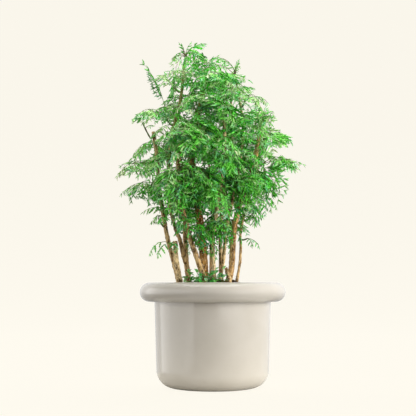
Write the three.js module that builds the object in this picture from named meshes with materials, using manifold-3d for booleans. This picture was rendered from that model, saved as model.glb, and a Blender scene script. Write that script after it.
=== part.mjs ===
// A potted ming aralia: a woody foliage shrub with several canes and finely divided, arching
// fronds, grown in a round glazed planter with a thick rolled rim.
// Millimetres, +Z up. The origin is the middle of the pot's base, where it stands on the floor,
// and the side that the photograph shows faces -Y.

import * as THREE from "three";
import { mergeVertices } from "three/addons/utils/BufferGeometryUtils.js";
import Module from "manifold-3d";

const wasm = await Module();
wasm.setup();

// ---- Driving dimensions -------------------------------------------------------------------

const POT = {
  height: 284,
  rimRadius: 200,
  rimSection: 26,
  topRadius: 160,
  lowRadius: 153.5,
  cornerRadius: 48,
  wall: 12,
  sides: 32,
};

const SOIL = { edgeHeight: 264, mound: 22, lump: 3, rings: 2 };

// What touches in the real plant stands this far apart.
const GAP = 0.3;

// Canes: number of flats round them, height of their foot in the soil, length of a straight step.
const CANE = { sides: 6, foot: 236, step: 52 };

// Shoots: flats round them, radius at the bark and at the end, straight stretch that leaves the
// bark, and where the fronds leave the shoot, as a share of the way back from its end.
const SHOOT = { sides: 3, radii: [3.1, 2.8], collar: 7, firstFrond: 0.1, nextFrond: 0.27 };

// Fronds: bare stalk as a share of the midrib, half width and keel of the stalk, depth of a
// leaflet, width of a leaflet as a share of its length, sag of the leaflets in degrees, place and
// length of the last leaflet, and half the stretch of midrib that a pair of leaflets grows from.
const FROND = {
  bare: 0.34,
  stalk: 1,
  keel: 1.3,
  taper: 0.35,
  depth: 1.3,
  widest: 0.45,
  hook: 0.12,
  leafletWidth: 0.36,
  leafletSag: 26,
  tipFrom: 0.84,
  tipReach: 0.25,
  pairSpan: 0.016,
};

// Pairs of side leaflets: where they stand on the midrib, their length as a share of the
// frond's, and their angle to the midrib. Fronds inside the crown have the spare row.
const FULL_PAIRS = [
  { share: 0.4, reach: 0.36, angle: 60 },
  { share: 0.59, reach: 0.32, angle: 54 },
  { share: 0.76, reach: 0.25, angle: 46 },
];

const SPARE_PAIRS = [
  { share: 0.45, reach: 0.38, angle: 60 },
  { share: 0.7, reach: 0.3, angle: 48 },
];

// Fronds are drawn by a seeded rule. Of the first few draws that stand clear, the one with most
// open space round its blade is kept. Draws wander round the rule by these amounts, a little
// further and shorter with each draw.
const DRAWS = { most: 400, enough: 14, farEnough: 60 };
const WANDER = {
  angle: 24, wider: 0.2, rise: 20, droop: 0.25, length: 0.14, shorter: 0.0014, roll: 55,
};
const MARKED_WANDER = { angle: 4, wider: 0.25, shorter: 0.001 };

const SEEDS = { marked: 11, side: 1000, end: 3000 };

const COLOURS = { pot: "#c9c0b2", soil: "#3a2a1e", bark: "#a5835e", leaf: "#3f8a3a", young: "#6aa544" };

// ---- Canes --------------------------------------------------------------------------------

// Each stem is the list of points that its middle passes, foot first, with its radius at the
// foot and at the top. A second stem starts inside the first, where the cane forks. Its sprays
// stand at even heights from sprays[0] to sprays[1], in the number sprays[2].
const CANES = [
  {
    name: "cane_left_pruned",
    stems: [
      {
        radii: [6, 4.8],
        sprays: [440, 520, 2],
        points: [
          [-82, 6, CANE.foot], [-95, 4, 293], [-110, 2, 349], [-124, 0, 404], [-138, -3, 478],
          [-149, -6, 560], [-156, -8, 640], [-165, -8, 703],
        ],
      },
    ],
  },
  {
    name: "cane_stub_left",
    stems: [
      {
        radii: [7.2, 6.2],
        points: [[-80, -30, CANE.foot], [-90, -32, 290], [-100, -34, 350], [-102, -34, 397]],
      },
    ],
  },
  {
    name: "cane_leader_pair",
    stems: [
      {
        radii: [7.5, 4.2],
        sprays: [424, 780, 3],
        end: 4,
        points: [
          [-62, 18, CANE.foot], [-68, 20, 305], [-74, 24, 350], [-77, 32, 436], [-76, 50, 540],
          [-62, 66, 650], [-40, 66, 760], [-22, 58, 862],
        ],
      },
      {
        radii: [5.6, 3.4],
        sprays: [470, 810, 3],
        end: 4,
        points: [
          [-72.5, 22.5, 332], [-80, 12, 356], [-90, -2, 400], [-106, -16, 445], [-122, -32, 530],
          [-118, -40, 640], [-101, -38, 736], [-88, -34, 795], [-78, -30, 888],
        ],
      },
    ],
  },
  {
    name: "cane_leaning",
    stems: [
      {
        radii: [7.4, 4.6],
        sprays: [416, 580, 2],
        end: 4,
        points: [
          [-14, -52, CANE.foot], [-22, -52, 288], [-41, -54, 346], [-65, -62, 416], [-84, -84, 500],
          [-92, -106, 590], [-84, -114, 672],
        ],
      },
    ],
  },
  {
    name: "cane_thick",
    stems: [
      {
        radii: [10, 4.6],
        sprays: [410, 730, 3],
        end: 4,
        points: [
          [-22, -14, CANE.foot], [-24, -14, 288], [-27, -14, 379], [-38, -20, 470], [-48, -26, 554],
          [-55, -28, 617], [-46, -30, 710], [-28, -28, 806],
        ],
      },
    ],
  },
  {
    name: "cane_thin_back",
    stems: [
      {
        radii: [3.2, 2.8],
        sprays: [440, 590, 2],
        end: 4,
        points: [
          [-8, 24, CANE.foot], [-6, 26, 315], [-4, 34, 397], [4, 66, 486], [-4, 104, 580],
          [-16, 122, 676],
        ],
      },
    ],
  },
  {
    name: "cane_pale_front",
    stems: [
      {
        radii: [5.2, 3.6],
        sprays: [412, 650, 3],
        end: 4,
        points: [
          [6, -24, CANE.foot], [4, -24, 304], [1, -28, 398], [12, -56, 482], [26, -90, 574],
          [32, -104, 664], [28, -98, 742],
        ],
      },
    ],
  },
  {
    name: "cane_fork_right",
    stems: [
      {
        radii: [5.6, 3.6],
        sprays: [430, 730, 3],
        end: 4,
        points: [
          [20, 12, CANE.foot], [22, 12, 290], [23, 14, 325], [22, 20, 432], [30, 40, 524],
          [46, 66, 620], [56, 80, 716], [54, 78, 800],
        ],
      },
      {
        radii: [4.6, 3.4],
        sprays: [418, 770, 3],
        end: 4,
        points: [
          [23.5, 13.5, 312], [30, 4, 344], [34, -4, 393], [40, -6, 442], [58, -12, 524],
          [76, -18, 620], [84, -20, 720], [66, -14, 846],
        ],
      },
    ],
  },
  {
    name: "cane_right",
    stems: [
      {
        radii: [7.4, 4.4],
        sprays: [470, 540, 1],
        end: 4,
        points: [
          [38, -30, CANE.foot], [44, -32, 288], [52, -34, 332], [60, -38, 440], [84, -48, 522],
          [112, -54, 604], [128, -50, 690],
        ],
      },
    ],
  },
  {
    name: "cane_wavy_right",
    stems: [
      {
        radii: [3.6, 2.9],
        sprays: [460, 570, 2],
        end: 3,
        points: [
          [60, 30, CANE.foot], [68, 32, 292], [76, 34, 336], [79, 36, 384], [80, 42, 432],
          [100, 60, 512], [124, 82, 592], [134, 90, 654],
        ],
      },
    ],
  },
  {
    name: "cane_stub_front",
    stems: [
      { radii: [5, 4.4], points: [[52, -60, CANE.foot], [46, -60, 284], [35, -60, 324]] },
    ],
  },
];

// ---- Sprays -------------------------------------------------------------------------------

// A spray is a green shoot with its fronds. Angles are compass angles in degrees: 0 is +X and
// 90 is +Y. rise is the slope of a frond's stalk, and droop is how far it turns down from there
// to its tip.

// Sprays that give the crown its outline in the photograph: cane, height, angle and length of
// the shoot, and then the fronds, each with angle, rise, droop and length.
const MARKED_SPRAYS = [
  { name: "spray_over_stub", cane: "cane_left_pruned", height: 688, angle: 180, slope: 62, shoot: 46,
    fronds: [[6, 48, 80, 88, 30], [140, 74, 80, 60, 0]] },
  { name: "spray_left_upper", cane: "cane_left_pruned", height: 600, angle: 190, slope: 40, shoot: 10,
    fronds: [[172, 44, 86, 98, 30], [218, 30, 90, 130, 0]] },
  { name: "spray_left_lower", cane: "cane_left_pruned", height: 556, angle: 150, slope: 30, shoot: 10,
    fronds: [[184, 16, 70, 98, -30], [128, 34, 100, 140, 0]] },
  { name: "spray_left_upright", cane: "cane_leader_pair", branch: 1, height: 716, angle: 200, slope: 50,
    shoot: 24, fronds: [[180, 84, 42, 160, 22], [236, 40, 90, 150, 0]] },
  { name: "spray_right_arm", cane: "cane_right", height: 596, angle: 0, slope: 34, shoot: 22,
    fronds: [[2, 26, 52, 120, 25], [318, 36, 90, 150, 0], [40, 34, 100, 140, 0]] },
  { name: "spray_right_hanging", cane: "cane_wavy_right", height: 520, angle: 350, slope: 30, shoot: 20,
    fronds: [[356, 16, 100, 128, 20], [50, 30, 110, 130, 0]] },
  { name: "spray_stub_leaves", cane: "cane_stub_left", height: 386, angle: 210, slope: 30, shoot: 12,
    fronds: [[176, 24, 110, 74, 20], [226, 6, 90, 70, 0], [282, 30, 110, 66, 0]] },
  { name: "spray_low_right", cane: "cane_wavy_right", height: 404, angle: 340, slope: 20, shoot: 12,
    fronds: [[348, 0, 80, 84, 20], [300, 10, 90, 80, 0]] },
];

// Side sprays: number of fronds, slope and length of the shoot, angle between its fronds, and
// how far it swings away from straight outwards. End sprays: length of the shoot, and the turn
// from one to the next.
const SIDE = { fronds: 3, slope: 46, shoot: 30, spread: 66, swing: 52 };
const END = { shoot: 30, turn: 37 };

// Habit of the fronds by height: longest in the middle of the crown, and rising more towards
// its top.
const HABIT = [
  // height, rise, droop, length
  [420, 8, 90, 138],
  [520, 30, 104, 186],
  [640, 44, 98, 194],
  [760, 56, 88, 180],
  [900, 66, 78, 134],
];

// The crown's outline from the front: left and right limits by height. In plan it is a rounder
// oval, whose depth follows its width.
const OUTLINE = [
  [352, -60, 62], [385, -96, 84], [415, -128, 106], [470, -193, 152], [540, -235, 190], [590, -240, 225],
  [656, -236, 225], [706, -190, 200], [760, -182, 172], [817, -165, 140], [877, -135, 88],
  [920, -112, 34], [945, -98, -12], [972, -92, -60],
];
const CROWN = { depthShare: 0.85, depthMore: 20, middle: -10, slack: 6 };

// Young shoots with round leaves stand in the soil between the canes. The first leaf grows at
// a share of the shoot's height; a leaf's length and rise are drawn between two limits.
const YOUNG = {
  sunk: 24,
  radii: [1.5, 1.1],
  firstLeaf: 0.55,
  lastLeaf: 0.98,
  turn: 137.5,
  wander: 40,
  rise: [10, 50],
  length: [17, 26],
  // share of the length, half width as a share of the length, depth
  leaf: [[0, 0.025, 1], [0.3, 0.035, 1], [0.55, 0.25, 1.3], [0.82, 0.2, 1]],
};
const YOUNG_SHOOTS = [
  { name: "young_shoot_left", at: [-52, -62], lean: [-12, -8, 0], height: 34, leaves: 4, seed: 71 },
  { name: "young_shoot_middle", at: [2, -62], lean: [-6, -10, 0], height: 24, leaves: 3, seed: 72 },
];

// ---- Small helpers ------------------------------------------------------------------------

const UP = new THREE.Vector3(0, 0, 1);

function radians(degrees) {
  return (degrees * Math.PI) / 180;
}

function lerp(a, b, share) {
  return a + (b - a) * share;
}

// Reads a table whose rows start with a height, and blends the two rows round it.
function rowAt(table, height) {
  const last = table.length - 1;
  if (height <= table[0][0]) return table[0].slice(1);
  if (height >= table[last][0]) return table[last].slice(1);
  const i = table.findIndex((row) => row[0] > height);
  const share = (height - table[i - 1][0]) / (table[i][0] - table[i - 1][0]);
  return table[i].slice(1).map((value, k) => lerp(table[i - 1][k + 1], value, share));
}

function vector([x, y, z]) {
  return new THREE.Vector3(x, y, z);
}

// The direction towards a compass angle, rising by a slope.
function heading(angle, slope = 0) {
  const [a, e] = [radians(angle), radians(slope)];
  return new THREE.Vector3(Math.cos(a) * Math.cos(e), Math.sin(a) * Math.cos(e), Math.sin(e));
}

// The same seed always gives the same row of numbers between 0 and 1.
function seededDraws(seed) {
  const modulus = 2147483647;
  let state = (seed * 7919) % modulus;
  const draw = () => {
    state = (state * 16807) % modulus;
    return state / modulus;
  };
  draw();
  draw();
  return draw;
}

// ---- Solids -------------------------------------------------------------------------------

function geometryFrom(positions, faces) {
  const geometry = new THREE.BufferGeometry();
  geometry.setAttribute("position", new THREE.Float32BufferAttribute(positions, 3));
  geometry.setIndex(faces);
  return geometry;
}

function solidOf(geometry) {
  const bare = geometry.clone();
  bare.deleteAttribute("normal");
  bare.deleteAttribute("uv");
  const merged = mergeVertices(bare, 1e-3);
  return new wasm.Manifold(
    new wasm.Mesh({
      numProp: 3,
      vertProperties: merged.attributes.position.array,
      triVerts: new Uint32Array(merged.index.array),
    }),
  );
}

function geometryOf(solid) {
  const mesh = solid.getMesh();
  const geometry = geometryFrom(Array.from(mesh.vertProperties), Array.from(mesh.triVerts));
  geometry.computeVertexNormals();
  return geometry;
}

function joined(solids) {
  return solids.reduce((whole, solid) => whole.add(solid));
}

// ---- Round stems --------------------------------------------------------------------------

// The rings of a tapered stem along a smooth curve. Each has its middle, its radius and its own
// directions: along the stem, and east and north across it.
function stemRings(points, radii, steps) {
  const curve = new THREE.CatmullRomCurve3(points, false, "catmullrom", 0.5);
  const rings = [];
  for (let i = 0; i <= steps; i += 1) {
    const share = i / steps;
    const along = curve.getTangent(share);
    const east = new THREE.Vector3(1, 0, 0);
    east.addScaledVector(along, -east.dot(along)).normalize();
    const north = new THREE.Vector3().crossVectors(along, east);
    const radius = lerp(radii[0], radii[1], share);
    rings.push({ at: curve.getPoint(share), along, east, north, radius });
  }
  return rings;
}

// A ring's corner. Flat k of the stem lies between corners k and k + 1 and faces angle
// 360 * k / sides from east.
function cornerOf(ring, k, sides, swell) {
  const angle = ((k - 0.5) * 2 * Math.PI) / sides;
  const point = ring.at.clone();
  point.addScaledVector(ring.east, (ring.radius + swell) * Math.cos(angle));
  return point.addScaledVector(ring.north, (ring.radius + swell) * Math.sin(angle));
}

function stemSolid(rings, sides, swell = 0) {
  const positions = [];
  const faces = [];
  const last = rings.length - 1;
  rings.forEach((ring, i) => {
    const push = i === 0 ? -swell : i === last ? swell : 0;
    for (let k = 0; k < sides; k += 1) {
      const corner = cornerOf(ring, k, sides, swell).addScaledVector(ring.along, push);
      positions.push(corner.x, corner.y, corner.z);
    }
  });
  for (let i = 0; i < last; i += 1) {
    for (let k = 0; k < sides; k += 1) {
      const [a, b] = [i * sides + k, i * sides + ((k + 1) % sides)];
      faces.push(a, b, b + sides, a, b + sides, a + sides);
    }
  }
  for (let k = 1; k < sides - 1; k += 1) {
    const top = last * sides;
    faces.push(0, k + 1, k, top, top + k, top + k + 1);
  }
  return solidOf(geometryFrom(positions, faces));
}

function ringsOf(stem) {
  const points = stem.points.map(vector);
  const length = new THREE.CatmullRomCurve3(points, false, "catmullrom", 0.5).getLength();
  return stemRings(points, stem.radii, Math.max(3, Math.round(length / CANE.step)));
}

function caneSolid(cane, swell = 0) {
  return joined(cane.stems.map((stem) => stemSolid(ringsOf(stem), CANE.sides, swell)));
}

// The middle of the stem's flat that faces nearest to a compass angle, at a height, with the
// direction that the flat faces.
function barkSpot(stem, height, angle) {
  const rings = ringsOf(stem);
  const k = Math.round((angle * CANE.sides) / 360) % CANE.sides;
  const middles = rings.map((ring) =>
    cornerOf(ring, k, CANE.sides, 0).add(cornerOf(ring, k + 1, CANE.sides, 0)).multiplyScalar(0.5),
  );
  const i = Math.max(1, middles.findIndex((middle) => middle.z > height));
  const share = (height - middles[i - 1].z) / (middles[i].z - middles[i - 1].z);
  const at = middles[i - 1].clone().lerp(middles[i], share);
  const across = cornerOf(rings[i], k + 1, CANE.sides, 0).sub(cornerOf(rings[i], k, CANE.sides, 0));
  const out = across.cross(middles[i].clone().sub(middles[i - 1])).normalize();
  return { at, out };
}

// ---- Pot and soil -------------------------------------------------------------------------

function arc(x, z, radius, from, to, steps) {
  const points = [];
  for (let i = 0; i <= steps; i += 1) {
    const angle = radians(lerp(from, to, i / steps));
    points.push(new THREE.Vector2(x + radius * Math.cos(angle), z + radius * Math.sin(angle)));
  }
  return points;
}

function turned(profile) {
  return new THREE.LatheGeometry(profile, POT.sides).rotateX(Math.PI / 2);
}

const RIM_MIDDLE = { radius: POT.rimRadius - POT.rimSection, z: POT.height - POT.rimSection };
const BORE = {
  topRadius: RIM_MIDDLE.radius - POT.rimSection,
  lowRadius: POT.lowRadius - POT.wall,
  cornerRadius: POT.cornerRadius - POT.wall,
};

// The quarter round between the pot's inner wall and its floor.
function boreCorner(from, to, gap) {
  const x = BORE.lowRadius - BORE.cornerRadius;
  return arc(x, POT.wall + BORE.cornerRadius, BORE.cornerRadius - gap, from, to, 2);
}

// One closed outline: base, rounded corner, outer wall, full round rim, inner wall and floor.
function potSolid() {
  const tuck = Math.asin((RIM_MIDDLE.radius - POT.topRadius) / POT.rimSection);
  const rimFrom = -90 - (tuck * 180) / Math.PI;
  const corner = POT.cornerRadius;
  return solidOf(
    turned([
      new THREE.Vector2(0, 0),
      ...arc(POT.lowRadius - corner, corner, corner, -90, 0, 4),
      ...arc(RIM_MIDDLE.radius, RIM_MIDDLE.z, POT.rimSection, rimFrom, 180, 10),
      ...boreCorner(0, -90, 0),
      new THREE.Vector2(0, POT.wall),
    ]),
  );
}

function soilHeight(x, y) {
  const inward = 1 - (x * x + y * y) / BORE.topRadius ** 2;
  const lumps = Math.sin(x / 17 + 1.3) * Math.cos(y / 15) + 0.6 * Math.sin((x + y) / 9);
  return SOIL.edgeHeight + (SOIL.mound + SOIL.lump * lumps) * inward;
}

// The soil fills the pot up to a lumpy mound, and has a hole for each cane.
function soilSolid() {
  const gap = 1.5 * GAP;
  const edge = BORE.topRadius - gap;
  const farAbove = 10 * POT.height;
  const profile = [new THREE.Vector2(0, POT.wall + gap), ...boreCorner(-90, 0, gap)];
  for (let i = 0; i <= SOIL.rings; i += 1) {
    profile.push(new THREE.Vector2(edge * (1 - i / SOIL.rings), farAbove));
  }
  const geometry = turned(profile);
  const spots = geometry.attributes.position;
  for (let i = 0; i < spots.count; i += 1) {
    if (spots.getZ(i) > POT.height) spots.setZ(i, soilHeight(spots.getX(i), spots.getY(i)));
  }
  const holes = CANES.map((cane) => caneSolid(cane, GAP));
  return holes.reduce((soil, hole) => soil.subtract(hole), solidOf(geometry));
}

// ---- Fronds -------------------------------------------------------------------------------

// A spot on a frond's midrib, which is an arc that turns down evenly, with the directions
// along the blade, across it and out of its upper face.
function midrib(frond, share) {
  const turn = radians(frond.droop);
  const start = radians(frond.rise);
  const now = start - turn * share;
  const out = heading(frond.angle);
  const flat = (frond.length * (Math.sin(start) - Math.sin(now))) / turn;
  const high = (frond.length * (Math.cos(now) - Math.cos(start))) / turn;
  const at = frond.root.clone().addScaledVector(out, flat).addScaledVector(UP, high);
  const along = out.clone().multiplyScalar(Math.cos(now)).addScaledVector(UP, Math.sin(now));
  const level = new THREE.Vector3().crossVectors(UP, out);
  const face = new THREE.Vector3().crossVectors(along, level);
  const roll = radians(frond.roll);
  const across = level.multiplyScalar(Math.cos(roll)).addScaledVector(face, Math.sin(roll));
  return { at, along, across, normal: new THREE.Vector3().crossVectors(along, across) };
}

// The direction of a side leaflet: it leaves the midrib at an angle and sags a little.
function leafletFrame(spot, side, angle) {
  const [lean, sag] = [radians(angle), radians(FROND.leafletSag)];
  const out = spot.across.clone().multiplyScalar(side * Math.cos(sag));
  out.addScaledVector(spot.normal, -Math.sin(sag));
  const along = spot.along.clone().multiplyScalar(Math.cos(lean));
  along.addScaledVector(out, Math.sin(lean));
  const normal = new THREE.Vector3().crossVectors(spot.along, out).multiplyScalar(side).normalize();
  return { along, normal, across: new THREE.Vector3().crossVectors(normal, along).normalize() };
}

// A frond as one closed blade: a three-sided stalk whose sides grow into pairs of pointed
// leaflets, with one more at its tip. A ring is always left edge, keel, right edge.
function frondSolid(frond, swell = 0) {
  const positions = [];
  const faces = [];
  const add = (point) => positions.push(point.x, point.y, point.z) / 3 - 1;
  const wall = (low, high) => {
    [0, 1, 2].forEach((i) => {
      const j = (i + 1) % 3;
      faces.push(low[i], low[j], high[j], low[i], high[j], high[i]);
    });
  };
  const halfAt = (share) => FROND.stalk * (1 - FROND.taper * share) + swell;
  const edge = (spot, side, half) => add(spot.at.clone().addScaledVector(spot.across, side * half));
  const keel = (spot, half) => add(spot.at.clone().addScaledVector(spot.normal, -FROND.keel * half));
  const stalkRing = (share) => {
    const spot = midrib(frond, share);
    const half = halfAt(share);
    return [edge(spot, -1, half), keel(spot, half), edge(spot, 1, half)];
  };
  const leaflet = (base, at, frame, reach) => {
    const half = 0.5 * FROND.leafletWidth * reach + swell;
    const middle = at.clone().addScaledVector(frame.along, FROND.widest * reach);
    const ring = [
      add(middle.clone().addScaledVector(frame.across, -half)),
      add(middle.clone().addScaledVector(frame.normal, -FROND.depth - swell)),
      add(middle.clone().addScaledVector(frame.across, half)),
    ];
    wall(base, ring);
    const end = at.clone().addScaledVector(frame.along, reach + swell);
    const tip = add(end.addScaledVector(frame.normal, -FROND.hook * reach));
    [0, 1, 2].forEach((i) => faces.push(ring[i], ring[(i + 1) % 3], tip));
  };

  let ring = stalkRing(0);
  faces.push(ring[2], ring[1], ring[0]);
  const bend = stalkRing(FROND.bare / 2);
  wall(ring, bend);
  ring = bend;
  for (const pair of frond.full ? FULL_PAIRS : SPARE_PAIRS) {
    const half = halfAt(pair.share);
    const [low, spot, high] = [-1, 0, 1].map((n) => midrib(frond, pair.share + n * FROND.pairSpan));
    const [lowLeft, lowRight] = [edge(low, -1, half), edge(low, 1, half)];
    const bottom = keel(spot, half);
    wall(ring, [lowLeft, bottom, lowRight]);
    const [highLeft, highRight] = [edge(high, -1, half), edge(high, 1, half)];
    faces.push(lowRight, lowLeft, highLeft, lowRight, highLeft, highRight);
    const reach = pair.reach * frond.length;
    leaflet([lowLeft, bottom, highLeft], spot.at, leafletFrame(spot, -1, pair.angle), reach);
    leaflet([highRight, bottom, lowRight], spot.at, leafletFrame(spot, 1, pair.angle), reach);
    ring = [highLeft, bottom, highRight];
  }
  const last = midrib(frond, FROND.tipFrom);
  leaflet(ring, last.at, last, FROND.tipReach * frond.length);
  return solidOf(geometryFrom(positions, faces));
}

// ---- Round-leaved young shoots at the foot --------------------------------------------------

// A young leaf is a short stalk with one round blade.
function roundLeafSolid(root, angle, rise, length) {
  const positions = [];
  const faces = [];
  const add = (point) => positions.push(point.x, point.y, point.z) / 3 - 1;
  const along = heading(angle, rise);
  const across = new THREE.Vector3().crossVectors(UP, along).normalize();
  const normal = new THREE.Vector3().crossVectors(along, across);
  const rings = YOUNG.leaf.map(([share, half, depth]) => {
    const at = root.clone().addScaledVector(along, share * length);
    const side = half * length;
    return [
      add(at.clone().addScaledVector(across, -side)),
      add(at.clone().addScaledVector(normal, -depth)),
      add(at.clone().addScaledVector(across, side)),
    ];
  });
  faces.push(rings[0][2], rings[0][1], rings[0][0]);
  for (let r = 1; r < rings.length; r += 1) {
    for (let i = 0; i < 3; i += 1) {
      const j = (i + 1) % 3;
      faces.push(rings[r - 1][i], rings[r - 1][j], rings[r][j]);
      faces.push(rings[r - 1][i], rings[r][j], rings[r][i]);
    }
  }
  const tip = add(root.clone().addScaledVector(along, length));
  const end = rings.at(-1);
  [0, 1, 2].forEach((i) => faces.push(end[i], end[(i + 1) % 3], tip));
  return solidOf(geometryFrom(positions, faces));
}

function youngShoot(plan) {
  const root = vector([plan.at[0], plan.at[1], soilHeight(...plan.at) - YOUNG.sunk]);
  const tip = root.clone().add(vector(plan.lean)).setZ(root.z + YOUNG.sunk + plan.height);
  const middle = root.clone().lerp(tip, 0.5);
  const rings = stemRings([root, middle, tip], YOUNG.radii, 2);
  const draw = seededDraws(plan.seed);
  const leaves = [];
  for (let i = 0; i < plan.leaves; i += 1) {
    const share = lerp(YOUNG.firstLeaf, YOUNG.lastLeaf, i / (plan.leaves - 1));
    const angle = YOUNG.turn * i + YOUNG.wander * draw();
    const rise = lerp(...YOUNG.rise, draw());
    const length = lerp(...YOUNG.length, draw());
    leaves.push(roundLeafSolid(root.clone().lerp(tip, share), angle, rise, length));
  }
  const [stem, hole] = [0, GAP].map((swell) => stemSolid(rings, SHOOT.sides, swell));
  return { name: plan.name, stem, hole, leaves };
}

// ---- Placing --------------------------------------------------------------------------------

const standing = [];

function boxesMeet(a, b) {
  return [0, 1, 2].every((i) => a.min[i] <= b.max[i] && b.min[i] <= a.max[i]);
}

function stand(owner, solid) {
  standing.push({ owner, solid, box: solid.boundingBox() });
}

function isClear(owner, solid) {
  const box = solid.boundingBox();
  return standing.every(
    (other) =>
      other.owner === owner || !boxesMeet(box, other.box) || solid.intersect(other.solid).isEmpty(),
  );
}

// Whether a point lies inside the crown: between the outline's limits, and round in plan.
function insideCrown(point) {
  if (point.z < OUTLINE[0][0] || point.z > OUTLINE.at(-1)[0]) return false;
  const [left, right] = rowAt(OUTLINE, point.z);
  const half = (right - left) / 2 + CROWN.slack;
  const depth = CROWN.depthShare * half + CROWN.depthMore;
  return ((point.x - (left + right) / 2) / half) ** 2 + (point.y / depth) ** 2 < 1;
}

// A spray's shoot leaves the bark squarely and then bends to its own slope.
function sideShoot(name, stem, height, angle, slope, length) {
  const { at, out } = barkSpot(stem, height, angle);
  const root = at.clone().addScaledVector(out, GAP);
  const knee = root.clone().addScaledVector(out, SHOOT.collar);
  const end = knee.clone().addScaledVector(heading(angle, slope), length);
  return { name, points: [root, knee, end], fronds: [] };
}

// The end spray carries the stem on from its top.
function endShoot(name, stem) {
  const top = ringsOf(stem).at(-1);
  const reach = [GAP, GAP + END.shoot / 2, GAP + END.shoot];
  return { name, points: reach.map((r) => top.at.clone().addScaledVector(top.along, r)), fronds: [] };
}

// A frond of the rule: its habit follows the height, and its draws wander round it.
function drawnFrond(plan, draw, attempt) {
  const [rise, droop, length] = rowAt(HABIT, plan.root.z);
  return {
    root: plan.root,
    angle: plan.angle + (WANDER.angle + WANDER.wider * attempt) * (2 * draw() - 1),
    rise: rise + WANDER.rise * (2 * draw() - 1),
    droop: droop * (1 + WANDER.droop * (2 * draw() - 1)),
    length: length * (1 + WANDER.length * (2 * draw() - 1)) * (1 - WANDER.shorter * attempt),
    roll: WANDER.roll * (2 * draw() - 1),
    full: plan.full,
  };
}

// A frond that the photograph shows keeps close to its own angles.
function markedFrond(plan, draw, attempt) {
  const [angle, rise, droop, length, roll] = plan.marked;
  const wander = MARKED_WANDER.angle + MARKED_WANDER.wider * attempt;
  return {
    root: plan.root,
    angle: angle + wander * (2 * draw() - 1),
    rise: rise + wander * (2 * draw() - 1),
    droop: droop + wander * (2 * draw() - 1),
    length: length * (1 - MARKED_WANDER.shorter * attempt),
    roll: roll + wander * (2 * draw() - 1),
    full: true,
  };
}

const BLADE_SHARES = [0.55, 0.78, 1];
const bladeSpots = [];

function bladeOf(frond) {
  return BLADE_SHARES.map((share) => midrib(frond, share).at);
}

// How far the blade stands from the blades that are there already.
function openSpace(frond) {
  return bladeOf(frond).reduce((sum, spot) => {
    const nearest = Math.min(...bladeSpots.map((other) => other.distanceTo(spot)));
    return sum + Math.min(nearest, DRAWS.farEnough);
  }, 0);
}

function placeFrond(shoot, plan) {
  const draw = seededDraws(plan.seed);
  let best = null;
  let found = 0;
  for (let attempt = 0; attempt < DRAWS.most && found < DRAWS.enough; attempt += 1) {
    const frond = plan.marked ? markedFrond(plan, draw, attempt) : drawnFrond(plan, draw, attempt);
    const fits = plan.marked || bladeOf(frond).every(insideCrown);
    if (fits && isClear(shoot.name, frondSolid(frond, GAP))) {
      found += plan.marked ? DRAWS.enough : 1;
      const space = openSpace(frond);
      if (!best || space > best.space) best = { frond, space };
    }
  }
  if (!best) return;
  const solid = frondSolid(best.frond);
  stand(shoot.name, solid);
  shoot.parts.push(solid);
  bladeSpots.push(...bladeOf(best.frond));
}

// ---- The whole plant ------------------------------------------------------------------------

const plant = new THREE.Group();

function addMesh(name, solid, colour, roughness) {
  const material = new THREE.MeshStandardMaterial({ color: colour, roughness, metalness: 0 });
  const mesh = new THREE.Mesh(geometryOf(solid), material);
  mesh.name = name;
  plant.add(mesh);
}

function addStanding(name, solid, colour, roughness) {
  stand(name, solid);
  addMesh(name, solid, colour, roughness);
}

const youngShoots = YOUNG_SHOOTS.map(youngShoot);
addMesh("pot", potSolid(), COLOURS.pot, 0.3);
const soil = youngShoots.reduce((whole, young) => whole.subtract(young.hole), soilSolid());
addMesh("soil", soil, COLOURS.soil, 0.95);
for (const cane of CANES) addStanding(cane.name, caneSolid(cane), COLOURS.bark, 0.85);
for (const young of youngShoots) {
  addStanding(young.name, joined([young.stem, ...young.leaves]), COLOURS.young, 0.5);
}

function numbered(name, number) {
  return `${name}_${String(number).padStart(2, "0")}`;
}

// The spot where a shoot's next frond is rooted, counted from the shoot's end.
function frondRoot(shoot, number) {
  const [, knee, end] = shoot.points;
  return end.clone().lerp(knee, SHOOT.firstFrond + SHOOT.nextFrond * number);
}

function markedShoot(mark, number) {
  const stem = CANES.find((cane) => cane.name === mark.cane).stems[mark.branch ?? 0];
  const shoot = sideShoot(mark.name, stem, mark.height, mark.angle, mark.slope, mark.shoot);
  mark.fronds.forEach((marked, i) => {
    shoot.fronds.push({ root: frondRoot(shoot, i), marked, seed: SEEDS.marked + 16 * number + i });
  });
  return shoot;
}

// A side spray swings to the left or the right of straight outwards.
function ruledShoot(stem, height, number, leftward) {
  const { at } = barkSpot(stem, height, 0);
  const outward = (Math.atan2(at.y, at.x - CROWN.middle) * 180) / Math.PI;
  const angle = (outward + (leftward ? SIDE.swing : -SIDE.swing) + 360) % 360;
  const name = numbered("spray", number);
  const shoot = sideShoot(name, stem, height, angle, SIDE.slope, SIDE.shoot);
  for (let i = 0; i < SIDE.fronds; i += 1) {
    const turn = (i - (SIDE.fronds - 1) / 2) * SIDE.spread;
    const seed = SEEDS.side + 16 * number + i;
    shoot.fronds.push({ root: frondRoot(shoot, i), angle: angle + turn, seed });
  }
  return shoot;
}

function topShoot(stem, number) {
  const shoot = endShoot(numbered("end_spray", number), stem);
  for (let i = 0; i < stem.end; i += 1) {
    const angle = END.turn * number + (360 / stem.end) * i;
    const seed = SEEDS.end + 16 * number + i;
    shoot.fronds.push({ root: frondRoot(shoot, i), angle, full: true, seed });
  }
  return shoot;
}

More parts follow.
